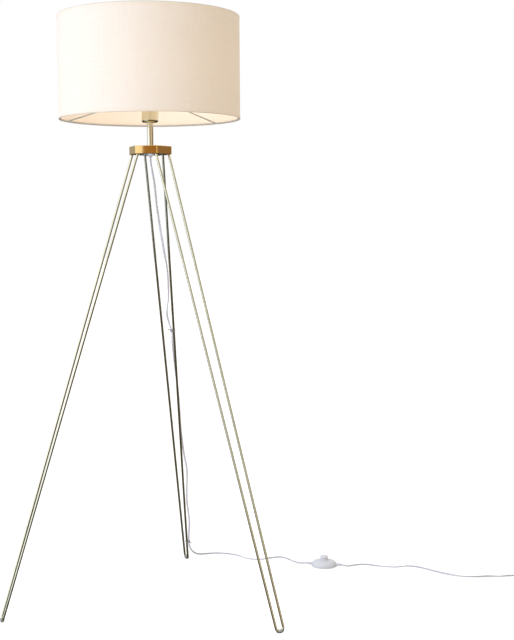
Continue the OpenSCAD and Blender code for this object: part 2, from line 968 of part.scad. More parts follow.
module switch_terminals() {
    top = button_z - bridge_t - button_travel - clear;
    color(brass)
        at_switch()
            for (side = [-1, 1])
                translate([side*terminal_at, 0, base_plate_t]) {
                    translate([-terminal_post.x/2, -terminal_post.y/2, 0])
                        cube([terminal_post.x, terminal_post.y, top - base_plate_t]);
                    translate([side > 0 ? 0 : -terminal_tab.x, terminal_post.y/2 - eps, 0])
                        cube(terminal_tab);
                }
}

module switch_terminal_screws() {
    color(steel)
        at_switch()
            for (side = [-1, 1])
                translate([side*(terminal_at + terminal_tab.x/2), (terminal_post.y + terminal_tab.y)/2,
                           base_plate_t + terminal_tab.z])
                    cylinder(r = tab_screw_r, h = tab_screw_h);
}

module switch_case_screws() {
    color(steel)
        at_switch()
            at_case_screws() {
                translate([0, 0, case_sink_h - case_head_h])
                    cylinder(r = case_head_r, h = case_head_h);
                translate([0, 0, case_head_h/2])
                    cylinder(r = case_screw_r - fit_gap, h = base_plate_t + case_bite);
            }
}

module switch_relief(side) {
    color(white)
        at_switch()
            translate([0, 0, port_z])
                rotate([0, side*90, 0])
                    rotate_extrude()
                        polygon([
                            [cord_r, switch_r - relief_in], [collar_r, switch_r - relief_in],
                            [collar_r, switch_r - collar_at], [port_r, switch_r - collar_at],
                            [port_r, switch_r + 1], [relief_tip_r, switch_r + relief_out],
                            [cord_r, switch_r + relief_out]
                        ]);
}

// ---- Plug ----

module at_plug() {
    translate([plug_at.x, plug_at.y, plug_z])
        children();
}

module plug_body() {
    edge = 2;
    back_w = 20;
    color(white)
        at_plug()
            difference() {
                hull() {
                    for (x = [-1, 1])
                        for (z = [-1, 1]) {
                            translate([x*(plug_w/2 - edge), -eps, z*(plug_t/2 - edge)])
                                rotate([90, 0, 0])
                                    cylinder(r = edge, h = plug_l*0.45, $fn = 32);
                            translate([x*(back_w/2 - edge), -plug_l + 2, z*(plug_t/2 - edge)])
                                rotate([90, 0, 0])
                                    cylinder(r = edge, h = 2, $fn = 32);
                        }
                }
                for (x = [-1, 1])
                    translate([x*pin_pitch/2, -pin_inside, 0])
                        rotate([-90, 0, 0])
                            cylinder(r = pin_root_r + fit_gap, h = pin_inside + 1);
            }
}

module plug_pins() {
    color(steel)
        at_plug()
            for (x = [-1, 1])
                translate([x*pin_pitch/2, 0, 0])
                    rotate([-90, 0, 0]) {
                        translate([0, 0, -pin_inside])
                            cylinder(r = pin_root_r, h = pin_inside + 1);
                        cylinder(r = pin_d/2, h = pin_h - pin_tip);
                        translate([0, 0, pin_h - pin_tip])
                            cylinder(r1 = pin_d/2, r2 = pin_d/2 - pin_tip, h = pin_tip);
                    }
}

module plug_relief() {
    color(white)
        at_plug()
            rotate([90, 0, 0])
                rotate_extrude()
                    polygon([
                        [0, plug_l], [plug_relief_r, plug_l], [relief_tip_r, plug_l + plug_relief_h],
                        [0, plug_l + plug_relief_h]
                    ]);
}

shade_fabric();
shade_lining();
shade_top_wire();
shade_carrier();
edge_tape(-1);  // shade_top_tape
edge_tape(1);  // shade_bottom_tape
shade_ring_nut();
lampholder_cup();
lampholder_sleeve();
lampholder_base();
lampholder_screw_shell();
lampholder_centre_contact();
lampholder_side_contact();
lampholder_terminal_screws();
hex_nut(holder_nut_z);  // lampholder_nut
lampholder_wires();
bulb_globe();
bulb_housing();
bulb_cap();
bulb_cap_insulator();
bulb_tip_contact();
stem_cap_nut();
stem_tube();
threaded_tube();
hub_body();
hub_washer();
hex_nut(hub_ceiling - centre_boss_h - washer_h - nut_h);  // hub_nut
cable_bush();
leg_plate(0);  // leg_plate_rear
leg_plate(1);  // leg_plate_left
leg_plate(2);  // leg_plate_right
leg_plate_screws();
leg(0);  // leg_rear
leg(1);  // leg_left
leg(2);  // leg_right
foot_sleeve(0);  // foot_sleeve_rear
foot_sleeve(1);  // foot_sleeve_left
foot_sleeve(2);  // foot_sleeve_right
cable_tie_upper();
cable_tie_lower();
cord_lamp();
cord_plug();
cord_coil();
cord_tail();
switch_base();
switch_cover();
switch_button();
switch_spring();
switch_contact_bridge();
switch_terminals();
switch_terminal_screws();
switch_case_screws();
switch_relief(-1);  // switch_relief_in
switch_relief(1);  // switch_relief_out
plug_body();
plug_pins();
plug_relief();
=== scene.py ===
"""Looks for the tripod floor lamp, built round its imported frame.

Each sub-assembly is a class with its sizes as fields. +Z is up, the origin is the tripod's axis at floor
level, and finished pieces are in metres. Parts hold their sizes in millimetres, which MM turns into metres.
The studio, the finishes and the cords hold metres, but the cords' routes are in millimetres.
"""
import logging
import math
from dataclasses import dataclass, field
from enum import Enum

import bmesh
import bpy
from mathutils import Matrix, Quaternion, Vector


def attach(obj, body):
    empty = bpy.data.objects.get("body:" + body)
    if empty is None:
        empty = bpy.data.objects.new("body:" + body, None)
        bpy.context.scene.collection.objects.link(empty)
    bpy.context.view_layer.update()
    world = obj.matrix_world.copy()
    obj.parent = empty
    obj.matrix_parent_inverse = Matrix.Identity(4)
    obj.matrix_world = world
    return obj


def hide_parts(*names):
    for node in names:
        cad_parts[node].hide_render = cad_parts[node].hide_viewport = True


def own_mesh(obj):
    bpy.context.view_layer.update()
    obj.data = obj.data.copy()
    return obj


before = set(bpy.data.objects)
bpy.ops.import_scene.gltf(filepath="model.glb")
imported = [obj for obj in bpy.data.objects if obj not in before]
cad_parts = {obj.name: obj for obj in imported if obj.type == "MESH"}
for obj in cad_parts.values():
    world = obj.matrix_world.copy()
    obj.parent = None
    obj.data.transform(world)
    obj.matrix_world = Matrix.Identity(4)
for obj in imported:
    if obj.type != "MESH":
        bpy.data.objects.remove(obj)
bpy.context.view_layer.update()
LOG = logging.getLogger("floor_lamp")
LAMP, BULB, FOOT_BUTTON = "lamp", "bulb", "foot_button"
MM = 0.001

Pair = tuple[float, float]
Point = Colour = tuple[float, float, float]
Profile = list[Pair]
Stops = tuple[tuple[float, Colour], ...]
Socket, Node, Material = bpy.types.NodeSocket, bpy.types.Node, bpy.types.Material
Piece, Shape = bpy.types.Object, bmesh.types.BMesh


# ---- Finishes ----

class Grain(Enum):
    """Which way the fine lines of a metal's finish run, as their stretch along each axis."""

    NONE = (1, 1, 1)
    UPRIGHT = (1, 1, 0.02)
    ROUND = (0.06, 0.06, 1)


class Nodes:
    """A short hand for building the node tree of one material, or of the surroundings."""

    def __init__(self, name: str, world: bool = False) -> None:
        """Makes an empty tree with an output.

        Args:
            name: the material's name.
            world: True for the surroundings.
        """
        self.material = (bpy.data.worlds if world else bpy.data.materials).new(name)
        self.material.use_nodes = True
        self.tree = self.material.node_tree
        self.tree.nodes.clear()
        self.output = self.add("OutputWorld" if world else "OutputMaterial")

    def feed(self, slot: Socket, value: object) -> None:
        """Gives an input its value.

        Args:
            slot: the input.
            value: another node's output, or a plain value.
        """
        if isinstance(value, Socket):
            self.tree.links.new(value, slot)
        else:
            slot.default_value = value

    def add(self, kind: str, *values: object, **settings: object) -> Node:
        """Adds a node.

        Args:
            kind: the node's type, without its Shader prefix.
            values: what its inputs get, in their order.
            settings: the node's own properties.

        Returns:
            The node.
        """
        node = self.tree.nodes.new("ShaderNode" + kind)
        for key, value in settings.items():
            setattr(node, key, value)
        for slot, value in zip(node.inputs, values):
            self.feed(slot, value)
        return node

    def fill(self, node: Node, **values: object) -> Node:
        """Gives inputs their values by name.

        Args:
            node: the node.
            values: what each input gets, with _ for a space in its name.

        Returns:
            The node.
        """
        for key, value in values.items():
            self.feed(node.inputs[key.replace("_", " ")], value)
        return node

    def show(self, node: Node) -> None:
        """Joins a shader to the output."""
        self.feed(self.output.inputs["Surface"], node.outputs[0])

    def shader(self, **values: object) -> Node:
        """Adds the Principled shader and joins it to the output.

        Args:
            values: as in fill.

        Returns:
            The shader node.
        """
        node = self.fill(self.add("BsdfPrincipled"), **values)
        self.show(node)
        return node

    def place(self, stretch: Point = (1, 1, 1)) -> Socket:
        """Object coordinates, stretched along each axis."""
        mapping = self.add("Mapping", self.add("TexCoord").outputs["Object"])
        return self.fill(mapping, Scale=stretch).outputs["Vector"]

    def noise(self, at: Socket, scale: float, detail: float = 3.0, rough: float = 0.5) -> Socket:
        """Smooth noise, about 0.5 in the mean, with detail finer layers that are as strong as rough."""
        node = self.fill(self.add("TexNoise"), Vector=at, Scale=scale, Detail=detail, Roughness=rough)
        return node.outputs["Fac"]

    def spread(self, value: Socket, low: float, high: float, start: float = 0.3, end: float = 0.7) -> Socket:
        """Maps start..end of a value to low..high."""
        return self.add("MapRange", value, start, end, low, high).outputs["Result"]

    def tint(self, value: Socket, *stops: tuple[float, Colour]) -> Socket:
        """Colours a value by stops.

        Args:
            value: the value socket.
            stops: position and colour of each stop.

        Returns:
            The colour socket.
        """
        ramp = self.add("ValToRGB", value)
        points = ramp.color_ramp.elements
        while len(points) < len(stops):
            points.new(0.5)
        for point, (position, colour) in zip(points, stops):
            point.position = position
            point.color = (*colour, 1.0)
        return ramp.outputs["Color"]

    def maths(self, operation: str, a: object, b: object = 0.0) -> Socket:
        """One step of arithmetic on two sockets or numbers."""
        return self.add("Math", a, b, operation=operation).outputs["Value"]

    def bump(self, height: Socket, shader: Node, depth: float) -> None:
        """Raises a shader's surface by a height from 0 to 1, where 1 stands for depth in metres."""
        node = self.fill(self.add("Bump"), Strength=1.0, Distance=depth, Height=height)
        self.fill(shader, Normal=node.outputs["Normal"])


@dataclass(frozen=True)
class Metal:
    """A metal with a fine grain, soft stains and small dents."""

    name: str
    light: Colour
    dark: Colour
    roughness: float = 0.2
    grain: Grain = Grain.NONE
    grain_depth: float = 2e-6
    grain_scale: float = 900.0
    stain_scale: float = 14.0
    vary: Pair = (-0.012, 0.018)

    def make(self) -> Material:
        """Returns the material."""
        n = Nodes(self.name)
        low, high = self.vary
        lines = n.noise(n.place(self.grain.value), self.grain_scale, 4.0, 0.6)
        stains = n.noise(n.place(), self.stain_scale, 4.0, 0.55)
        rough = n.maths("ADD", n.spread(stains, high, low), n.spread(lines, low, high))
        shader = n.shader(Metallic=1.0, Base_Color=n.tint(stains, (0.3, self.dark), (0.68, self.light)),
                          Roughness=n.maths("ADD", rough, self.roughness))
        n.bump(lines, shader, self.grain_depth)
        return n.material


@dataclass(frozen=True)
class Moulding:
    """A smooth moulded plastic with a slight orange peel."""

    name: str
    colour: Colour
    shade: Colour
    roughness: float = 0.3
    peel: float = 400.0
    depth: float = 4e-6
    soft: float = 0.1
    cloud_scale: float = 30.0
    smear_scale: float = 90.0

    def make(self) -> Material:
        """Returns the material."""
        n = Nodes(self.name)
        at = n.place()
        cloud = n.noise(at, self.cloud_scale)
        smears = n.noise(at, self.smear_scale, 4.0)
        shader = n.shader(IOR=1.49, Subsurface_Weight=self.soft, Subsurface_Scale=0.004,
                          Subsurface_Radius=(1.0, 0.9, 0.8),
                          Base_Color=n.tint(cloud, (0.3, self.shade), (0.7, self.colour)),
                          Roughness=n.spread(smears, self.roughness - 0.02, self.roughness + 0.025))
        n.bump(n.noise(at, self.peel, 2.0), shader, self.depth)
        return n.material


@dataclass(frozen=True)
class Clear:
    """A milky clear plastic."""

    name: str
    colour: Colour = (0.9, 0.91, 0.9)
    cloudy: Colour = (0.837, 0.8463, 0.837)
    roughness: Pair = (0.11, 0.26)
    clearness: float = 0.85

    def make(self) -> Material:
        """Returns the material."""
        n = Nodes(self.name)
        at = n.place()
        cloud = n.noise(at, 120.0)
        shader = n.shader(IOR=1.46, Transmission_Weight=self.clearness,
                          Base_Color=n.tint(cloud, (0.3, self.cloudy), (0.7, self.colour)),
                          Roughness=n.spread(cloud, *self.roughness))
        n.bump(n.noise(at, 500.0, 2.0), shader, 1e-5)
        return n.material


@dataclass(frozen=True)
class Linen:
    """A plain-woven shade cloth with painted light: an emission for the bulb's light shining through it. Past
    a rim, where it is turned over, painted shade darkens its colour and that emission.
    """

    name: str
    light: Colour
    dark: Colour
    # Painted light: the colour, strength, height and fall-off of an emission that stands in for the bulb's
    # light through the cloth.
    painted_glow: Colour
    painted_glow_strength: float
    lamp_z: float = 1.335
    painted_glow_half: float = 0.16
    radius: float = 0.2245
    pitch: float = 1.6 * MM
    depth: float = 1.2e-4
    middle_z: float = 1.351
    # Painted shade: past this distance from the middle height, where the cloth is turned over, its colour and
    # emission fall to the given share, over a soft change.
    rim: float = 1.0
    painted_rim_shade: float = 0.66
    rim_soft: float = 0.4 * MM

    def weave(self, n: Nodes) -> tuple[Socket, Socket]:
        """Adds the over and under of the threads.

        Args:
            n: the material's nodes.

        Returns:
            The weave's height, and the height above the floor.
        """
        x, y, z = n.add("SeparateXYZ", n.place()).outputs
        round_way = n.maths("MULTIPLY", n.maths("ARCTAN2", y, x), 2 * math.pi * self.radius / self.pitch)
        up_way = n.maths("MULTIPLY", z, 2 * math.pi / self.pitch)
        threads = n.maths("MULTIPLY", n.maths("SINE", round_way), n.maths("SINE", up_way))
        return n.spread(threads, 0.0, 1.0, -1.0, 1.0), z

    def make(self) -> Material:
        """Returns the material."""
        n = Nodes(self.name)
        threads, z = self.weave(n)
        upright = n.noise(n.place((1, 1, 0.04)), 420.0, 3.0, 0.6)
        level = n.noise(n.place((0.05, 0.05, 1)), 520.0, 3.0, 0.6)
        slubs = n.maths("MULTIPLY", n.maths("ADD", upright, level), 0.5)
        off = n.maths("ABSOLUTE", n.maths("SUBTRACT", z, self.middle_z))
        # Painted shade: past the rim, its colour and its emission are darkened.
        edge = n.spread(off, 1.0, self.painted_rim_shade, self.rim - self.rim_soft, self.rim + self.rim_soft)
        cloth = n.tint(slubs, (0.36, self.dark), (0.6, self.light))
        # Painted light: the emission is strongest at the bulb's height and weaker up and down the cloth.
        away = n.maths("ABSOLUTE", n.maths("SUBTRACT", z, self.lamp_z))
        painted_glow_by_height = n.spread(away, self.painted_glow_strength * 1.04, self.painted_glow_strength * 0.93, 0.0, self.painted_glow_half)
        painted_glow = n.maths("MULTIPLY", painted_glow_by_height, n.spread(slubs, 0.985, 1.015))
        tone = n.add("MixRGB", 1.0, cloth, edge, blend_type="MULTIPLY").outputs["Color"]
        shader = n.shader(Roughness=0.86, IOR=1.4, Sheen_Weight=0.15, Sheen_Roughness=0.5, Base_Color=tone,
                          Emission_Color=(*self.painted_glow, 1.0), Emission_Strength=n.maths("MULTIPLY", painted_glow, edge))
        n.bump(n.maths("ADD", n.maths("MULTIPLY", threads, 0.5), slubs), shader, self.depth)
        return n.material


@dataclass(frozen=True)
class Opal:
    """The lit opal glass of the bulb."""

    name: str = "bulb_opal"
    colour: Colour = (1.0, 0.86, 0.66)
    strength: float = 1.3
    glass: Colour = (0.95, 0.94, 0.92)
    cloudy: Colour = (0.9, 0.88, 0.84)

    def make(self) -> Material:
        """Returns the material."""
        n = Nodes(self.name)
        cloud = n.noise(n.place(), 60.0, 2.0)
        n.shader(IOR=1.5, Coat_Weight=0.5, Coat_Roughness=0.05, Emission_Strength=self.strength,
                 Emission_Color=(*self.colour, 1.0), Roughness=n.spread(cloud, 0.22, 0.3),
                 Base_Color=n.tint(cloud, (0.3, self.cloudy), (0.7, self.glass)))
        return n.material


def make_finishes() -> dict[str, Material]:
    """Makes every finish of the lamp.

    Returns:
        The materials by name.
    """
    # The colour of the painted light in the shade's cloth and tapes.
    lit = (1.0, 0.56, 0.18)
    finishes = (
        Metal("brass_hub", (0.9, 0.66, 0.27), (0.84, 0.58, 0.21), 0.035, Grain.UPRIGHT, 1e-6),
        Metal("brass_rod", (0.81, 0.78, 0.62), (0.71, 0.68, 0.52), 0.15, Grain.UPRIGHT),
        Metal("contact_brass", (0.83, 0.62, 0.28), (0.7, 0.5, 0.2), 0.28),
        Metal("steel", (0.62, 0.62, 0.63), (0.48, 0.48, 0.5), 0.3, Grain.ROUND, 4e-6),
        Metal("bulb_metal", (0.78, 0.78, 0.79), (0.66, 0.66, 0.68), 0.24, Grain.ROUND, 3e-6),
        Metal("nickel_pins", (0.76, 0.74, 0.7), (0.66, 0.63, 0.58), 0.16, Grain.ROUND),
        Moulding("cord_plastic", (0.78, 0.76, 0.84), (0.7, 0.68, 0.77), 0.3, 250.0, 1e-5, 0.25),
        Moulding("white_plastic", (0.8, 0.8, 0.86), (0.775, 0.775, 0.84), 0.26),
        Moulding("holder_plastic", (0.86, 0.8, 0.66), (0.8, 0.73, 0.58)),
        Moulding("ceramic", (0.88, 0.86, 0.8), (0.8, 0.78, 0.72), 0.22, 120.0, 1e-5),
        # Painted shade: the white wire of the shade's top ring and carrier is given a dark grey-tan.
        Moulding("white_wire", (0.56, 0.53, 0.48), (0.46, 0.43, 0.39), 0.36, 260.0, 8e-6, 0.0),
        Moulding("bulb_insulator", (0.05, 0.05, 0.06), (0.03, 0.03, 0.035), 0.2, 120.0, 4e-6, 0.0),
        # The shade's cloth, lining and tapes carry painted light, an emission for the bulb shining through
        # them.
        Linen("shade_fabric", (0.76, 0.75, 0.74), (0.71, 0.7, 0.69), lit, 0.27),
        Linen("shade_lining", (0.86, 0.77, 0.67), (0.82, 0.73, 0.63), (1.0, 0.76, 0.54), 0.16,
              pitch=2.4 * MM, depth=3e-5, radius=0.2234),
        # The tape's painted shade lies along its turned-over rims.
        Linen("shade_tape", (0.76, 0.74, 0.71), (0.71, 0.69, 0.66), lit, 0.26, pitch=1.4 * MM, rim=0.1237),
        Clear("clear_plastic"),
        Opal(),
    )
    return {finish.name: finish.make() for finish in finishes}


@dataclass
class Part:
    """A sub-assembly of the lamp."""

    finishes: dict[str, Material]

    def build(self) -> None:
        """Makes and dresses the part."""
        raise NotImplementedError

    def dress(self, finish: str, *nodes: str) -> None:
        """Gives CAD nodes a finish.

        Args:
            finish: the finish's name.
            nodes: the nodes.
        """
        for name in nodes:
            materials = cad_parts[name].data.materials
            materials.clear()
            materials.append(self.finishes[finish])

    def put(self, piece: Piece, finish: str, body: str, slot: str, *nodes: str) -> None:
        """Dresses a piece and puts it in place of its CAD nodes.

        Args:
            piece: the piece.
            finish: the finish's name.
            body: the body that it rides on.
            slot: its material slot in the record; not used.
            nodes: the nodes that it replaces.
        """
        piece.data.materials.clear()
        piece.data.materials.append(self.finishes[finish])
        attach(piece, body)
        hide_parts(*nodes)
        LOG.info("%-22s %6d faces", piece.name, len(piece.data.polygons))


# ---- Camera, light and floor ----

@dataclass
class Studio:
    """The camera, the lights and the pale floor."""

    camera_at: Point = (0.662, -2.9287, 0.9689)
    camera_aim: Point = (0.265, 0.0007, 0.7271)
    roll: float = -0.406
    lens: float = 66.94
    floor_r: float = 30.0
    floor_lift: float = 0.5
    floor_tone: Colour = (0.88, 0.88, 0.88)
    floor_seen: Colour = (0.085, 0.075, 0.05)
    daylight: Colour = (0.8, 0.95, 1.16)
    key_at: Point = (-1.0555, -1.0417, 1.1)
    key_aim: Point = (-0.013, 0.6133, 1.1)
    key_size: Pair = (1.68, 2.35)
    key_power: float = 11.6
    overhead_at: Point = (-0.7, -1.9, 3.3)
    overhead_aim: Point = (0.0, 0.0, 1.2)
    overhead_size: Pair = (1.4, 1.0)
    overhead_power: float = 10.0
    bulb_at: Point = (0.0, 0.0, 1.385)
    bulb_tone: Colour = (1.0, 0.84, 0.62)
    bulb_power: float = 0.5
    bulb_r: float = 0.02
    ceiling: Colour = (0.9, 0.9, 0.92)
    walls: Stops = (
        (-180, (0.9, 0.9, 0.92)), (-165, (1.0, 1.0, 1.0)), (-116, (0.7, 0.7, 0.7)), (-110, (0.38, 0.2, 0.07)),
        (-68, (0.34, 0.2, 0.1)), (-60, (0.8, 0.64, 0.46)), (-22, (0.8, 0.64, 0.46)), (-6, (0.3, 0.2, 0.13)),
        (36, (0.3, 0.2, 0.13)), (52, (0.7, 0.62, 0.52)), (112, (0.8, 0.8, 0.8)), (124, (0.44, 0.44, 0.46)),
        (150, (0.44, 0.44, 0.46)), (166, (0.9, 0.9, 0.92)),
    )
    upper_walls: Stops = (
        (-180, (0.95, 0.95, 0.95)), (-112, (0.95, 0.95, 0.9)), (-104, (0.17, 0.16, 0.09)),
        (-74, (0.17, 0.16, 0.09)), (-66, (0.85, 0.8, 0.62)), (-26, (0.85, 0.8, 0.62)),
        (-10, (0.2, 0.19, 0.12)), (40, (0.2, 0.19, 0.12)), (60, (0.8, 0.78, 0.7)), (112, (0.85, 0.85, 0.85)),
        (124, (0.4, 0.4, 0.36)), (150, (0.4, 0.4, 0.36)), (166, (0.95, 0.95, 0.95)),
    )

    def hang(self, data: bpy.types.ID, at: Point, aim: Point, roll: float = 0.0) -> Piece:
        """Puts a camera or a light in the scene.

        Args:
            data: the camera or the light.
            at: where it stands.
            aim: the point that it faces.
            roll: its turn about its own view, in degrees.

        Returns:
            Its object.
        """
        thing = bpy.data.objects.new(data.name, data)
        thing.location = at
        facing = (Vector(aim) - Vector(at)).to_track_quat("-Z", "Y")
        thing.rotation_mode = "QUATERNION"
        thing.rotation_quaternion = facing @ Quaternion((0, 0, 1), math.radians(roll))
        bpy.context.scene.collection.objects.link(thing)
        return thing

    def camera(self) -> None:
        """Makes the camera and looks through it."""
        data = bpy.data.cameras.new("camera")
        data.sensor_width = 36.0
        data.lens = self.lens
        data.clip_start, data.clip_end = 0.05, 60.0
        bpy.context.scene.camera = self.hang(data, self.camera_at, self.camera_aim, self.roll)

    def softbox(self, name: str, at: Point, aim: Point, size: Pair, power: float) -> None:
        """Makes one area light.

        Args:
            name: its name.
            at: its middle.
            aim: the point that it faces.
            size: its width and height.
            power: its power, in watts.
        """
        data = bpy.data.lights.new(name, "AREA")
        data.shape = "RECTANGLE"
        data.size, data.size_y = size
        data.energy, data.color = power, self.daylight
        self.hang(data, at, aim)

    def lights(self) -> None:
        """Makes both softboxes and the light of the lamp's own bulb."""
        self.softbox("key", self.key_at, self.key_aim, self.key_size, self.key_power)
        self.softbox("overhead", self.overhead_at, self.overhead_aim, self.overhead_size, self.overhead_power)
        data = bpy.data.lights.new("lit_bulb", "POINT")
        data.energy, data.color, data.shadow_soft_size = self.bulb_power, self.bulb_tone, self.bulb_r
        self.hang(data, self.bulb_at, (0, 0, 0))

    def floor(self) -> None:
        """Makes the pale floor, which polished metal sees darker than the eye does."""
        bm = bmesh.new()
        bmesh.ops.create_circle(bm, cap_ends=True, segments=96, radius=self.floor_r)
        plane = new_piece("floor", bm)
        n = Nodes("pale_floor")
        path = n.add("LightPath")
        lift = n.maths("MULTIPLY", path.outputs["Is Camera Ray"], self.floor_lift)
        pale = n.shader(Roughness=0.9, Base_Color=(*self.floor_tone, 1), Specular_IOR_Level=0.0,
                        Emission_Color=(1, 1, 1, 1), Emission_Strength=lift)
        seen = n.add("Emission", (*self.floor_seen, 1))
        n.show(n.add("MixShader", path.outputs["Is Glossy Ray"], pale.outputs[0], seen.outputs[0]))
        plane.data.materials.append(n.material)

    def surroundings(self) -> None:
        """Makes the studio's walls: white behind the lamp, and soft bright and dim parts all round."""
        n = Nodes("studio", world=True)
        x, y, z = n.add("SeparateXYZ", n.add("TexCoord").outputs["Generated"]).outputs
        share = n.maths("ADD", n.maths("MULTIPLY", n.maths("ARCTAN2", y, x), 0.5 / math.pi), 0.5)
        low, high = (n.tint(share, *((0.5 + angle / 360, colour) for angle, colour in stops))
                     for stops in (self.walls, self.upper_walls))
        walls = n.add("MixRGB", n.spread(z, 0.0, 1.0, 0.09, 0.16), low, high).outputs["Color"]
        room = n.add("MixRGB", n.spread(z, 0.0, 1.0, 0.6, 0.8), walls, (*self.ceiling, 1)).outputs["Color"]
        around, white = (n.add("Background", tone).outputs["Background"] for tone in (room, (1, 1, 1, 1)))
        n.show(n.add("MixShader", n.add("LightPath").outputs["Is Camera Ray"], around, white))
        bpy.context.scene.world = n.material
        bpy.context.scene.view_settings.view_transform = "Standard"

    def build(self) -> None:
        """Makes the whole studio."""
        self.camera()
        self.surroundings()
        self.floor()
        self.lights()


# ---- Shared shapes ----

def new_piece(name: str, bm: Shape, smooth: float = 40.0) -> Piece:
    """Turns a bmesh into an object at the origin.

    Args:
        name: the piece's name.
        bm: the shape, which is freed.
        smooth: faces meeting at less than this angle, in degrees, shade smoothly.

    Returns:
        The object.
    """
    mesh = bpy.data.meshes.new(name)
    bm.to_mesh(mesh)
    bm.free()
    piece = bpy.data.objects.new(name, mesh)
    bpy.context.scene.collection.objects.link(piece)
    mesh.shade_smooth()
    mesh.set_sharp_from_angle(angle=math.radians(smooth))
    return piece


def lathe(name: str, profile: Profile, steps: int = 96, closed: bool = True,
          place: Matrix | None = None, smooth: float = 40.0) -> Piece:
    """Turns a profile round the Z axis.

    Args:
        name: the piece's name.
        profile: radius and height of each corner, in millimetres.
        steps: the steps round.
        closed: True joins the last corner to the first.
        place: moves the turned shape.
        smooth: as in new_piece.

    Returns:
        The piece.
    """
    bm = bmesh.new()
    first = last = bmesh.ops.create_vert(bm, co=(profile[0][0] * MM, 0, profile[0][1] * MM))["vert"][0]
    for radius, height in profile[1:]:
        last = bmesh.ops.extrude_vert_indiv(bm, verts=[last])["verts"][0]
        last.co = (radius * MM, 0, height * MM)
    if closed:
        bmesh.ops.contextual_create(bm, geom=[first, last])
    bmesh.ops.spin(bm, geom=bm.verts[:] + bm.edges[:], cent=(0, 0, 0), axis=(0, 0, 1), angle=2 * math.pi,
                   steps=steps, use_merge=True, dvec=(0, 0, 0))
    bmesh.ops.remove_doubles(bm, verts=bm.verts, dist=1e-6)
    bmesh.ops.recalc_face_normals(bm, faces=bm.faces)
    if place is not None:
        bmesh.ops.transform(bm, matrix=place, verts=bm.verts)
    return new_piece(name, bm, smooth)


def circle(bm: Shape, radius: float, sides: int, at: Matrix) -> tuple[list, list]:
    """Makes an open circle.

    Args:
        bm: where it is made.
        radius: its radius.
        sides: its sides.
        at: its place.

    Returns:
        Its vertices and its edges.
    """
    verts = bmesh.ops.create_circle(bm, cap_ends=False, segments=sides, radius=radius, matrix=at)["verts"]
    return verts, [e for e in bm.edges if all(v in verts for v in e.verts)]


def arc(centre: Pair, radius: float | Pair, start: float, end: float, count: int) -> Profile:
    """Points on an arc of a profile.

    Args:
        centre: its middle, as radius and height.
        radius: its radius, or its two half sizes.
        start: the first angle, in degrees, from the way out.
        end: the last angle.
        count: how many points.

    Returns:
        The points.
    """
    wide, high = radius if isinstance(radius, tuple) else (radius, radius)
    angles = (math.radians(start + (end - start) * i / (count - 1)) for i in range(count))
    return [(centre[0] + wide * math.cos(a), centre[1] + high * math.sin(a)) for a in angles]


def smooth_run(points: list[Vector], step: float, fine: int = 24) -> list[Vector]:
    """A smooth curve through points, in even steps.

    Args:
        points: the points that it passes through.
        step: the distance between its own points.
        fine: how many parts each stretch is worked out in.

    Returns:
        The curve's points, from the first given point to the last.
    """
    ends = [2 * points[0] - points[1], *points, 2 * points[-1] - points[-2]]
    dense: list[Vector] = []
    for a, b, c, d in zip(ends, ends[1:], ends[2:], ends[3:]):
        knots = [0.0]
        for p, q in ((a, b), (b, c), (c, d)):
            knots.append(knots[-1] + max((q - p).length, 1e-6) ** 0.5)
        for i in range(fine):
            t = knots[1] + (knots[2] - knots[1]) * i / fine
            near, middle, far = (
                (p * (k1 - t) + q * (t - k0)) / (k1 - k0)
                for p, q, k0, k1 in zip((a, b, c), (b, c, d), knots, knots[1:])
            )
            early = (near * (knots[2] - t) + middle * (t - knots[0])) / (knots[2] - knots[0])
            late = (middle * (knots[3] - t) + far * (t - knots[1])) / (knots[3] - knots[1])
            dense.append((early * (knots[2] - t) + late * (t - knots[1])) / (knots[2] - knots[1]))
    dense.append(points[-1].copy())
    return even_steps(dense, step)


def even_steps(points: list[Vector], step: float) -> list[Vector]:
    """Points at even distances along a line of points.

    Args:
        points: the line.
        step: the distance wanted.

    Returns:
        The even points, both ends among them.
    """
    marks = [0.0]
    for p, q in zip(points, points[1:]):
        marks.append(marks[-1] + (q - p).length)
    count = max(2, round(marks[-1] / step))
    out, k = [], 0
    for i in range(count + 1):
        want = marks[-1] * i / count
        while k < len(marks) - 2 and marks[k + 1] < want:
            k += 1
        share = (want - marks[k]) / max(marks[k + 1] - marks[k], 1e-9)
        out.append(points[k].lerp(points[k + 1], min(max(share, 0.0), 1.0)))
    return out


def length_of(points: list[Vector]) -> float:
    """The length of a line of points."""
    return sum((q - p).length for p, q in zip(points, points[1:]))


def ease(share: float) -> float:
    """A smooth step from 0 to 1."""
    share = min(max(share, 0.0), 1.0)
    return share * share * (3 - 2 * share)


# ---- The shade ----

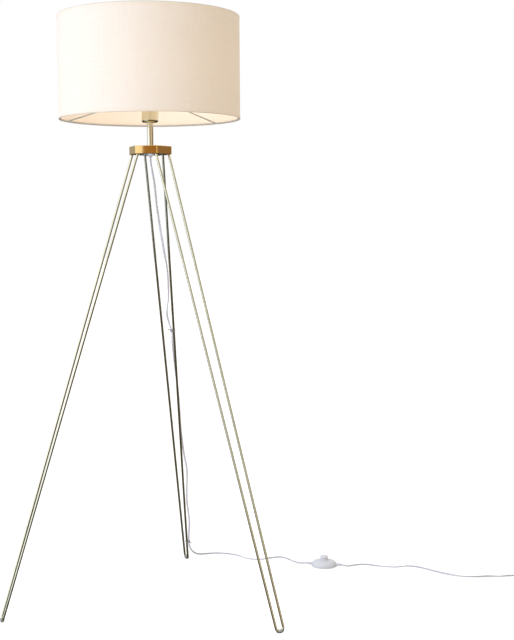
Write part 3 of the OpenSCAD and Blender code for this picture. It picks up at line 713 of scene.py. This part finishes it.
@dataclass
class Shade(Part):
    """The drum shade: cloth on a stiff lining, edge tapes, wires and the carrier."""

    radius: float = 225.0
    fabric_r: float = 224.5
    lining_r: float = 223.9
    lining_in_r: float = 223.4
    bottom: float = 1226.0
    top: float = 1476.0
    tape: float = 0.5
    tape_w: float = 7.0
    inner_cut: float = 0.15
    outer_cut: float = 0.2
    steps: int = 192
    seam: float = 12.0

    def cloth(self) -> Piece:
        """Returns the cloth, a drum that the tapes hold."""
        low, high = self.bottom + self.tape, self.top - self.tape
        return lathe("shade_cloth", [(self.lining_r, low), (self.fabric_r, low), (self.fabric_r, high),
                                     (self.lining_r, high)], self.steps)

    def edge(self, name: str, rim: float, way: int) -> Piece:
        """Makes one edge tape, folded over the rim.

        Args:
            name: its name.
            rim: the rim's height.
            way: 1 where the shade is above the rim, -1 where it is below.

        Returns:
            The tape.
        """
        t, cut = self.tape, self.outer_cut
        profile = [*arc((self.radius - t, t), t, -90, 0, 5), (self.radius, self.tape_w - cut),
                   (self.radius - cut, self.tape_w), (self.fabric_r, self.tape_w), (self.fabric_r, t),
                   (self.lining_in_r, t), (self.lining_in_r, self.inner_cut),
                   (self.lining_in_r + self.inner_cut, 0.0)]
        return lathe(name, [(r, rim + way * z) for r, z in profile], self.steps)

    def build(self) -> None:
        """Makes and dresses the shade."""
        cloth = self.cloth()
        self.put(cloth, "shade_fabric", LAMP, "shade_fabric", "shade_fabric")
        tapes = [self.edge("shade_tape_top", self.top, -1), self.edge("shade_tape_bottom", self.bottom, 1)]
        for tape, node in zip(tapes, ("shade_top_tape", "shade_bottom_tape")):
            self.put(tape, "shade_tape", LAMP, "shade_tape", node)
        self.dress("shade_lining", "shade_lining")
        # The wires take the darkened white finish, which is painted shade.
        self.dress("white_wire", "shade_top_wire", "shade_carrier")
        self.dress("holder_plastic", "shade_ring_nut")


# ---- The lampholder and the bulb ----

@dataclass
class Lampholder(Part):
    """The screw lampholder in its brass cup."""

    inner: float = 17.6
    outer: float = 19.8
    foot_r: float = 19.75
    cup_r: float = 21.0
    shoulder_r: float = 24.0
    foot_z: float = 1241.0
    flange_z: Pair = (1246.0, 1248.0)
    shoulder_z: Pair = (1275.0, 1277.5)
    top: float = 1290.5
    cut: float = 0.3
    lip: float = 0.5
    pitch: float = 2.8
    depth: float = 0.9
    lower_gap: float = 1.0
    upper_gap: float = 2.4
    top_gap: float = 0.8
    turn_steps: int = 8

    def thread(self, start: float, end: float) -> Profile:
        """The profile of the sleeve's coarse round thread.

        Args:
            start: where it begins.
            end: where it ends.

        Returns:
            Radius and height of each corner.
        """
        turns = int((end - start) / self.pitch)
        points = []
        for i in range(turns * self.turn_steps + 1):
            share = i / self.turn_steps
            dip = self.depth * (0.5 - 0.5 * math.cos(2 * math.pi * share))
            points.append((self.outer - dip, start + self.pitch * share))
        return points

    def sleeve(self) -> Piece:
        """Returns the threaded sleeve that the shade's carrier rests on."""
        (flange, flange_top), (shoulder, shoulder_top) = self.flange_z, self.shoulder_z
        cut = self.cut
        profile = [(self.inner, self.foot_z), (self.foot_r, self.foot_z), (self.foot_r, flange),
                   (self.cup_r - cut, flange), (self.cup_r, flange + cut), (self.cup_r, flange_top - cut),
                   (self.cup_r - cut, flange_top),
                   *self.thread(flange_top + self.lower_gap, shoulder - self.lower_gap),
                   (self.outer, shoulder), (self.shoulder_r - cut, shoulder),
                   (self.shoulder_r, shoulder + cut), (self.shoulder_r, shoulder_top),
                   (self.outer, shoulder_top),
                   *self.thread(shoulder_top + self.upper_gap, self.top - self.top_gap),
                   (self.outer - self.lip, self.top), (self.inner, self.top)]
        return lathe("lampholder_skirt", profile, smooth=50.0)

    def build(self) -> None:
        """Makes the sleeve and dresses the lampholder."""
        # The brass cup takes the paler rod brass; its paler tone is painted reflection of the bright shade
        # cloth above it.
        self.dress("brass_rod", "lampholder_cup")
        self.put(self.sleeve(), "holder_plastic", LAMP, "white_plastic", "lampholder_sleeve")
        self.dress("ceramic", "lampholder_base")
        self.dress("contact_brass", "lampholder_screw_shell", "lampholder_centre_contact",
                       "lampholder_side_contact", "lampholder_terminal_screws")
        self.dress("steel", "lampholder_nut")
        self.dress("cord_plastic", "lampholder_wires")


@dataclass
class Bulb(Part):
    """The lit bulb: opal globe, white housing and screw cap."""

    globe_r: float = 30.0
    globe_z: float = 1319.8
    neck: Pair = (14.2, 1267.9)
    mouth: Pair = (16.2, 1291.5)
    swell: tuple[Pair, ...] = ((18.1, 1294.6), (21.6, 1298.6), (24.4, 1302.0))
    shoulder: Pair = (25.8, 1304.5)

    def build(self) -> None:
        """Makes and dresses the bulb."""
        middle = (0, self.shoulder[1])
        start = -math.degrees(math.asin((self.globe_z - self.shoulder[1]) / self.globe_r))
        ball = arc((0, self.globe_z), self.globe_r, start, 90, 40)
        globe = lathe("bulb_glass", [middle, *ball], closed=False)
        self.put(globe, "bulb_opal", BULB, "bulb_opal", "bulb_globe")
        wall = [(0, self.neck[1]), self.neck, self.mouth, *self.swell, self.shoulder, middle]
        housing = lathe("bulb_collar", wall, closed=False)
        self.put(housing, "white_plastic", BULB, "white_plastic", "bulb_housing")
        self.dress("bulb_metal", "bulb_cap")
        self.dress("bulb_insulator", "bulb_cap_insulator")
        self.dress("contact_brass", "bulb_tip_contact")


# ---- The hub and the legs ----

@dataclass
class Hub(Part):
    """The six-sided hub, the stem on it and the plates below."""

    def build(self) -> None:
        """Dresses the hub and the stem."""
        self.dress("brass_hub", "hub_body")
        self.dress("brass_rod", "stem_tube", "stem_cap_nut")
        self.dress("steel", "threaded_tube", "hub_washer", "hub_nut", "leg_plate_screws",
                       "leg_plate_rear", "leg_plate_left", "leg_plate_right")
        self.dress("white_plastic", "cable_bush")


@dataclass
class HairpinLeg(Part):
    """One leg: a rod bent in a U at the floor, with a clear sleeve on the bend."""

    name: str
    angle: float
    turn: float
    rod_r: float = 3.0
    bend_r: float = 9.0
    hub_z: float = 1140.0
    end_x: float = 40.18
    end_y: float = 23.2
    end_top: float = 8.0
    tilt: float = 17.38
    lift: float = 3.75
    sleeve_r: float = 4.25
    sleeve_gap: float = 0.05
    sleeve_arc: float = 100.0
    sole_z: float = 0.02
    sides: int = 32
    bend_step: float = 6.0

    def __post_init__(self) -> None:
        """Works out the floor bend."""
        tilt, turn = math.radians(self.tilt), math.radians(self.turn)
        self.side = Vector((math.sin(turn) * math.cos(tilt), math.cos(turn), math.sin(turn) * math.sin(tilt)))
        self.down = Vector((math.sin(tilt), 0, -math.cos(tilt)))
        z = self.lift + self.bend_r * math.hypot(math.cos(tilt), self.side.z)
        self.middle = Vector((self.end_x + (self.hub_z - z) * math.tan(tilt), 0, z))

    def bend(self, bm: Shape, radius: float, arc_angle: float) -> tuple[list, list]:
        """Spins a round section along the floor bend.

        Args:
            bm: where it is made.
            radius: the section's radius.
            arc_angle: how much of the bend it covers, evenly about its lowest part, in degrees.

        Returns:
            The first ring's edges and the last one's.
        """
        axis = self.side.cross(self.down).normalized()
        start = Matrix.Rotation(math.radians(90 - arc_angle / 2), 3, axis)
        facing = (start @ self.down).to_track_quat("Z", "Y").to_matrix().to_4x4()
        at = Matrix.Translation(self.middle + self.bend_r * (start @ self.side)) @ facing
        verts, edges = circle(bm, radius, self.sides, at)
        steps = round(arc_angle / self.bend_step)
        last = bmesh.ops.spin(bm, geom=verts + edges, cent=self.middle, axis=axis, steps=steps,
                              angle=math.radians(arc_angle), use_merge=False, dvec=(0, 0, 0))["geom_last"]
        return edges, [e for e in last if isinstance(e, bmesh.types.BMEdge)]

    def finish_shape(self, name: str, bm: Shape) -> Piece:
        """Scales the shape from millimetres and turns it to its place.

        Args:
            name: the piece's name.
            bm: the shape.

        Returns:
            The piece.
        """
        bmesh.ops.recalc_face_normals(bm, faces=bm.faces)
        turned = Matrix.Rotation(math.radians(self.angle), 4, "Z") @ Matrix.Scale(MM, 4)
        bmesh.ops.transform(bm, matrix=turned, verts=bm.verts)
        return new_piece(name, bm)

    def rod(self) -> Piece:
        """Returns the bent rod."""
        bm = bmesh.new()
        first, last = self.bend(bm, self.rod_r, 180.0)
        rise = Vector((-math.tan(math.radians(self.tilt)), 0, 1)) * self.end_top
        for ring, way in ((first, 1), (last, -1)):
            to = Vector((self.end_x, way * self.end_y, self.hub_z)) + rise
            grown = bmesh.ops.extrude_edge_only(bm, edges=ring)["geom"]
            verts = [v for v in grown if isinstance(v, bmesh.types.BMVert)]
            bmesh.ops.translate(bm, verts=verts, vec=to - (self.middle + way * self.bend_r * self.side))
        bmesh.ops.holes_fill(bm, edges=[e for e in bm.edges if e.is_boundary], sides=0)
        return self.finish_shape("leg_rod_" + self.name, bm)

    def sleeve(self) -> Piece:
        """Returns the clear sleeve, flat where it stands."""
        bm = bmesh.new()
        outer = self.bend(bm, self.sleeve_r, self.sleeve_arc)
        inner = self.bend(bm, self.rod_r + self.sleeve_gap, self.sleeve_arc)
        for a, b in zip(outer, inner):
            bmesh.ops.bridge_loops(bm, edges=a + b)
        whole = bm.verts[:] + bm.edges[:] + bm.faces[:]
        cut = bmesh.ops.bisect_plane(bm, geom=whole, plane_co=(0, 0, self.sole_z), plane_no=(0, 0, -1),
                                     clear_outer=True)["geom_cut"]
        bmesh.ops.holes_fill(bm, edges=[e for e in cut if isinstance(e, bmesh.types.BMEdge)], sides=0)
        return self.finish_shape("leg_sleeve_" + self.name, bm)

    def build(self) -> None:
        """Makes and dresses the leg."""
        self.put(self.rod(), "brass_rod", LAMP, "brass_polished", "leg_" + self.name)
        self.put(self.sleeve(), "clear_plastic", LAMP, "clear_plastic", "foot_sleeve_" + self.name)


@dataclass
class CableTies(Part):
    """The two clear ties that hold the cord to the rear leg."""

    def build(self) -> None:
        """Dresses the ties."""
        self.dress("clear_plastic", "cable_tie_upper", "cable_tie_lower")


# ---- The foot switch and the plug ----

# Share of the pitch and depth of each corner of a groove.
GROOVE = ((0.3, 0.0), (0.42, 0.45), (0.78, 0.45), (0.9, 0.0))


def ribbed(root_r: float, tip_r: float, start: float, end: float, ribs: int) -> Profile:
    """The profile of a tapered strain relief with grooves, whose corners are GROOVE's.

    Args:
        root_r: its radius at the start.
        tip_r: its radius at the end.
        start: where it begins along its axis.
        end: where it ends.
        ribs: how many grooves.

    Returns:
        Radius and distance of each corner.
    """
    pitch = (end - start) / (ribs + 0.5)
    points = []
    for i in range(ribs):
        for share, depth in GROOVE:
            along = start + pitch * (i + share)
            points.append((root_r + (tip_r - root_r) * (along - start) / (end - start) - depth, along))
    return points + [(tip_r, end - 0.5), (tip_r - 0.5, end), (0.0, end)]


@dataclass
class FootSwitch(Part):
    """The round foot switch in the cord."""

    at: Pair = (402.0, 366.0)
    turn: float = -5.0
    radius: float = 35.0
    edge_z: float = 6.0
    dome_in_r: float = 13.3
    top: float = 17.0
    hole_r: float = 10.3
    wall: float = 1.8
    lip_w: float = 1.4
    lip_cut: float = 0.4
    foot_gap: float = 0.4
    foot_cut: float = 0.5
    seam_z: Pair = (3.1, 3.9)
    seam_cut: Pair = (0.35, 0.2)
    button_r: float = 11.5
    button_top: float = 29.0
    button_round: float = 1.4
    button_wall: float = 3.0
    button_in_r: float = 8.4
    shaft_r: float = 10.0
    shaft_z: Pair = (10.0, 24.0)
    flange_r: float = 12.4
    flange_z: float = 8.0
    cap_z: float = 25.6
    dish: tuple[Pair, ...] = ((7.0, 0.35), (4.0, 0.7), (0.0, 0.9))
    port_z: float = 6.0
    collar_r: float = 5.2
    collar_z: Pair = (25.0, 28.0)
    relief_step: float = 0.5
    relief: Pair = (4.2, 3.5)
    relief_z: Pair = (36.0, 49.0)
    relief_ribs: int = 4
    spring_r: float = 5.6
    spring_wire: float = 0.5
    spring_turns: int = 5
    spring_z: Pair = (3.0, 25.2)
    spring_seat: float = 2.5
    spring_keep: float = 0.86
    spring_steps: int = 24

    def place(self) -> Matrix:
        """Where the switch stands."""
        middle = Matrix.Translation((self.at[0] * MM, self.at[1] * MM, 0))
        return middle @ Matrix.Rotation(math.radians(self.turn), 4, "Z")

    def cover(self) -> Piece:
        """Returns the domed cover, with a lip round the button."""
        wide, rise = self.radius - self.dome_in_r, self.top - self.edge_z
        outside = arc((self.dome_in_r, self.edge_z), (wide, rise), 0, 90, 25)
        inside = arc((self.dome_in_r, self.edge_z), (wide - self.wall, rise - self.wall), 90, 0, 19)
        hole, cut = self.hole_r, self.lip_cut
        lip = [(hole + self.lip_w, self.top), (hole + cut, self.top - cut / 4), (hole, self.top - cut * 1.25),
               (hole, self.top - self.wall)]
        r, foot, (low, high), (deep, slope) = self.radius, self.foot_gap, self.seam_z, self.seam_cut
        rim = [(r - self.wall, foot), (r - self.foot_cut, foot), (r, foot + self.foot_cut), (r, low),
               (r - deep, low + slope), (r - deep, high - slope), (r, high)]
        return lathe("switch_dome", rim + outside + lip + inside, place=self.place())

    def button(self) -> Piece:
        """Returns the raised button."""
        top, rounding, (low, high) = self.button_top, self.button_round, self.shaft_z
        profile = [(self.button_in_r, self.flange_z), (self.flange_r, self.flange_z), (self.flange_r, low),
                   (self.shaft_r, low), (self.shaft_r, high), (self.button_r, self.cap_z),
                   *arc((self.button_r - rounding, top - rounding), rounding, 0, 90, 7),
                   *((r, top - depth) for r, depth in self.dish),
                   (0.0, top - self.button_wall), (self.button_in_r, top - self.button_wall)]
        return lathe("switch_push", profile, 72, place=self.place())

    def spring(self) -> Piece:
        """Returns the coil spring under the button."""
        low, high = self.spring_z
        steps = self.spring_turns * self.spring_steps
        bm = bmesh.new()
        start = Matrix.Translation((self.spring_r, 0, low)) @ Matrix.Rotation(math.pi / 2, 4, "X")
        verts, edges = circle(bm, self.spring_wire, 10, start)
        bmesh.ops.spin(bm, geom=verts + edges, cent=(0, 0, 0), axis=(0, 0, 1), steps=steps, use_merge=False,
                       angle=2 * math.pi * self.spring_turns, dvec=(0, 0, (high - low) / steps))
        bmesh.ops.holes_fill(bm, edges=[e for e in bm.edges if e.is_boundary], sides=0)
        bmesh.ops.recalc_face_normals(bm, faces=bm.faces)
        bmesh.ops.transform(bm, matrix=self.place() @ Matrix.Scale(MM, 4), verts=bm.verts)
        return new_piece("switch_coil_spring", bm)

    def strain_relief(self, name: str, side: int) -> Piece:
        """Makes one ribbed strain relief.

        Args:
            name: its name.
            side: -1 where the cord comes in, 1 where it goes out.

        Returns:
            The strain relief.
        """
        (low, high), (start, end), root = self.collar_z, self.relief_z, self.relief[0]
        collar = [(0.0, low), (self.collar_r, low), (self.collar_r, high), (root, high),
                  (root, start - self.relief_step)]
        turned = Matrix.Translation((0, 0, self.port_z * MM)) @ Matrix.Rotation(side * math.pi / 2, 4, "Y")
        return lathe(name, collar + ribbed(*self.relief, start, end, self.relief_ribs), 40, closed=False,
                     place=self.place() @ turned)

    def build(self) -> None:
        """Makes and dresses the switch."""
        for piece, body, node in (
            (self.cover(), LAMP, "switch_cover"), (self.button(), FOOT_BUTTON, "switch_button"),
            (self.strain_relief("switch_grommet_in", -1), LAMP, "switch_relief_in"),
            (self.strain_relief("switch_grommet_out", 1), LAMP, "switch_relief_out"),
        ):
            self.put(piece, "white_plastic", body, "white_plastic", node)
        spring = self.spring()
        self.put(spring, "steel", LAMP, "steel", "switch_spring")
        seat = self.place() @ Vector((0, 0, self.spring_seat * MM))
        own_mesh(spring)
        self.dress("white_plastic", "switch_base")
        self.dress("contact_brass", "switch_contact_bridge", "switch_terminals")
        self.dress("steel", "switch_terminal_screws", "switch_case_screws")


@dataclass
class Plug(Part):
    """The flat two-pin plug."""

    at: Point = (1025.0, 464.0, 6.8)
    body_l: float = 34.0
    relief: Pair = (5.2, 3.5)
    relief_z: Pair = (35.0, 58.0)
    relief_ribs: int = 6

    def build(self) -> None:
        """Makes and dresses the plug."""
        place = Matrix.Translation(Vector(self.at) * MM) @ Matrix.Rotation(math.pi / 2, 4, "X")
        root = [(0.0, self.body_l), (self.relief[0], self.body_l), (self.relief[0], self.relief_z[0])]
        relief = lathe("plug_boot", root + ribbed(*self.relief, *self.relief_z, self.relief_ribs), 40,
                       closed=False, place=place)
        self.put(relief, "white_plastic", LAMP, "white_plastic", "plug_relief")
        self.dress("white_plastic", "plug_body")
        self.dress("nickel_pins", "plug_pins")


# ---- The cord ----

@dataclass
class FlatCord:
    """The two-core cord: two round cores side by side."""

    width: float = 5.4 * MM
    core: float = 1.5 * MM
    step: float = 3.0 * MM
    sides: int = 8
    # The part of each core's outline that shows beside the waist between the two cores.
    core_arc: float = 0.84 * math.pi
    waist: float = 0.5
    level_from: float = 0.3
    level_share: float = 0.2
    level_turn: float = 3.0

    def outline(self) -> Profile:
        """Returns the section's outline, across and up."""
        half = self.width / 2 - self.core
        points = []
        for side in (1, -1):
            for i in range(self.sides):
                angle = self.core_arc * (i / (self.sides - 1) - 0.5)
                across = half + self.core * math.cos(angle)
                points.append((side * across, side * self.core * math.sin(angle)))
            points.append((0.0, side * self.core * self.waist))
        return points

    def sweep(self, name: str, centres: list[Vector], turns: list[float]) -> Piece:
        """Carries the section along a line.

        Args:
            name: the piece's name.
            centres: the middle of each ring.
            turns: the section's turn at each ring, in radians. At 0 the cord lies flat.

        Returns:
            The piece, with lengths in metres in its UV map.
        """
        outline = self.outline()
        bm = bmesh.new()
        uv = bm.loops.layers.uv.new("UVMap")
        rings, along = [], [0.0]
        up = Vector((0, 0, 1))
        for i, centre in enumerate(centres):
            heading = (centres[min(i + 1, len(centres) - 1)] - centres[max(i - 1, 0)]).normalized()
            up = (up - heading * up.dot(heading)).normalized()
            flat_up = Vector((0, 0, 1)) - heading * heading.z
            if flat_up.length > self.level_from:
                level = flat_up.normalized()
                up = up.slerp(level, self.level_share) if up.angle(level) < self.level_turn else level
            across = heading.cross(up).normalized()
            c, s = math.cos(turns[i]), math.sin(turns[i])
            a, b = across * c + up * s, up * c - across * s
            rings.append([bm.verts.new(centre + a * x + b * y) for x, y in outline])
            if i:
                along.append(along[-1] + (centre - centres[i - 1]).length)
        count = len(outline)
        round_marks = [0.0]
        for p, q in zip(outline, outline[1:] + outline[:1]):
            round_marks.append(round_marks[-1] + math.dist(p, q))
        for i in range(len(rings) - 1):
            for k in range(count):
                j = (k + 1) % count
                face = bm.faces.new((rings[i][k], rings[i][j], rings[i + 1][j], rings[i + 1][k]))
                corners = ((k, i), (k + 1, i), (k + 1, i + 1), (k, i + 1))
                for loop, (m, r) in zip(face.loops, corners):
                    loop[uv].uv = (round_marks[m], along[r])
        bm.faces.new(rings[0])
        bm.faces.new(rings[-1])
        bmesh.ops.recalc_face_normals(bm, faces=bm.faces)
        return new_piece(name, bm, 50.0)


LAMP_ROUTE = [
    (0, 0, 1134), (0, 2, 1120), (2, 7, 1102), (5, 17, 1070), (6, 38, 1013), (8, 68, 952), (10, 103, 890),
    (12, 124, 850), (9, 150, 775), (1, 166, 730), (5, 175, 702), (10.4, 180.3, 683), (9.6, 193, 643),
    (10.6, 217, 580), (13.6, 239, 515), (12.6, 276, 398), (17, 293, 330), (22, 308, 278), (18, 323, 225),
    (15.5, 335, 186), (17, 346, 150), (18, 356, 118), (14.5, 365, 86), (12.5, 372, 58), (15, 380, 36),
    (24, 396, 18), (38, 422, 7), (60, 448, 2.6), (97, 455, 2.6), (143, 438, 2.6), (180, 409, 2.6),
    (211, 404, 2.6), (245, 424, 2.6), (271, 432, 2.6), (294, 416, 2.6), (314, 393, 2.6), (334, 376, 3.4),
    (353.2, 370.3, 6),
]
PLUG_ROUTE = [
    (450.8, 361.7, 6), (469, 362, 3.4), (487, 376, 2.6), (512, 386, 2.6), (560, 375, 2.6), (602, 371, 2.6),
    (636, 384, 2.6), (668, 374, 2.6), (695, 354, 2.6), (729, 327, 2.6), (770, 307, 2.6), (810, 301, 2.6),
    (860, 309, 2.6), (912, 320, 2.6), (948, 328, 2.6), (980, 331.6, 2.6),
]
TAIL_ROUTE = [(1024.6, 358, 7.8), (1025, 372, 7.5), (1025, 390, 6.8), (1025, 406, 6.8)]


@dataclass
class Cords(Part):
    """The cord from the hub to the foot switch, and from the switch through its coil to the plug."""

    section: FlatCord = field(default_factory=FlatCord)
    coil_at: Pair = (992 * MM, 364 * MM)
    coil_r: Pair = (27.4 * MM, 32.6 * MM)
    coil_z: Pair = (2.6 * MM, 7.8 * MM)
    coil_turns: float = 4.25
    coil_steps: int = 36
    coil_moves: Point = (0.95, 1.95, 3.0)
    coil_move: float = 0.25
    floor_z: float = 2.6 * MM
    lying_z: float = 4.5 * MM
    floor_gap: float = 0.05 * MM
    lift_share: float = 0.99
    exit: Point = (0.0, 0.0, 1134 * MM)
    phases: Pair = (0.4, 1.7)
    lean: float = 0.7
    sways: tuple[Pair, ...] = ((0.5, 21.0), (0.3, 47.0))
    on_edge: float = 2.5 * math.pi
    edge_from: float = 0.45
    calm_from: float = 0.8

    def run(self, route: list[Point]) -> list[Vector]:
        """The middle of the cord along a route, in even steps."""
        return smooth_run([Vector(p) * MM for p in route], self.section.step)

    def coil(self) -> list[Vector]:
        """The turns of the coil: outer and inner ones on the floor, then inner and outer ones on top."""
        inner, outer = self.coil_r
        low, high = self.coil_z
        go_in, climb, go_out = self.coil_moves
        steps = round(self.coil_turns * self.coil_steps)
        points = []
        for i in range(steps + 1):
            turn = self.coil_turns * i / steps
            angle = -math.pi / 2 + 2 * math.pi * turn
            inward = ease((turn - go_in) / self.coil_move) - ease((turn - go_out) / self.coil_move)
            radius = outer + (inner - outer) * inward
            height = low + (high - low) * ease((turn - climb) / self.coil_move)
            points.append(Vector((self.coil_at[0] + radius * math.cos(angle),
                                  self.coil_at[1] + radius * math.sin(angle), height)))
        return points

    def build(self) -> None:
        section = self.section
        first = self.run(LAMP_ROUTE)
        first_turns = [self.sway(i * section.step, self.phases[0]) for i in range(len(first))]
        self.settle(first, first_turns)
        lamp_cord = section.sweep("cord_to_switch", first, first_turns)
        out = self.run(PLUG_ROUTE)
        wound = even_steps(self.coil(), section.step)
        tail = self.run(TAIL_ROUTE)
        second = out[:-1] + wound + tail[1:]
        second_turns = self.plug_turns(len(out) - 1, len(wound), len(tail) - 1)
        self.settle(second, second_turns)
        plug_cord = section.sweep("cord_to_plug", second, second_turns)
        self.put(lamp_cord, "cord_plastic", LAMP, "cord_plastic", "cord_lamp")
        self.put(plug_cord, "cord_plastic", LAMP, "cord_plastic", "cord_plug", "cord_coil", "cord_tail")
        LOG.info("cords: %.3f m and %.3f m", length_of(first), length_of(second))

    def sway(self, along: float, phase: float) -> float:
        """The section's slow turning to and fro.

        Args:
            along: the distance along the cord.
            phase: where the turning starts.

        Returns:
            The turn, in radians.
        """
        swings = (size * math.sin(along * rate + k * phase) for k, (size, rate) in enumerate(self.sways, 1))
        return self.lean + sum(swings)

    def plug_turns(self, out: int, wound: int, tail: int) -> list[float]:
        """The turn at each ring of the plug's cord, which stands on its edge in the coil.

        Args:
            out: the rings before the coil.
            wound: the rings in the coil.
            tail: the rings after it.

        Returns:
            The turns, in radians.
        """
        turns = []
        for i in range(out):
            share = i / out
            raised = self.on_edge * ease((share - self.edge_from) / (1 - self.edge_from))
            calm = ease((share - self.calm_from) / (1 - self.calm_from))
            turns.append(self.sway(i * self.section.step, self.phases[1]) * (1 - calm) + raised)
        turns += [self.on_edge] * wound
        turns += [self.on_edge - math.pi / 2 * ease((i + 1) / tail) for i in range(tail)]
        return turns

    def settle(self, centres: list[Vector], turns: list[float]) -> None:
        """Lets the cord down on the floor where it runs along it.

        Args:
            centres: the middle of each ring, changed in place.
            turns: the turn at each ring.
        """
        half = self.section.width / 2 - self.section.core
        for centre, turn in zip(centres, turns):
            if centre.z < self.lying_z:
                rest = self.section.core + self.floor_gap + half * abs(math.sin(turn))
                centre.z = rest + max(0.0, centre.z - self.floor_z) * self.lift_share


def main() -> None:
    """Builds the lamp's looks, piece by piece."""
    logging.basicConfig(level=logging.INFO, format="%(message)s")
    Studio().build()
    finishes = make_finishes()
    legs = (HairpinLeg(finishes, "rear", 90.0, 50.0), HairpinLeg(finishes, "left", 210.0, 0.0),
            HairpinLeg(finishes, "right", 330.0, 40.0))
    parts = (Shade(finishes), Lampholder(finishes), Bulb(finishes), Hub(finishes), *legs, CableTies(finishes),
             FootSwitch(finishes), Plug(finishes), Cords(finishes))
    for part in parts:
        LOG.info("building %s", type(part).__name__)
        part.build()


if __name__ == "__main__":
    main()
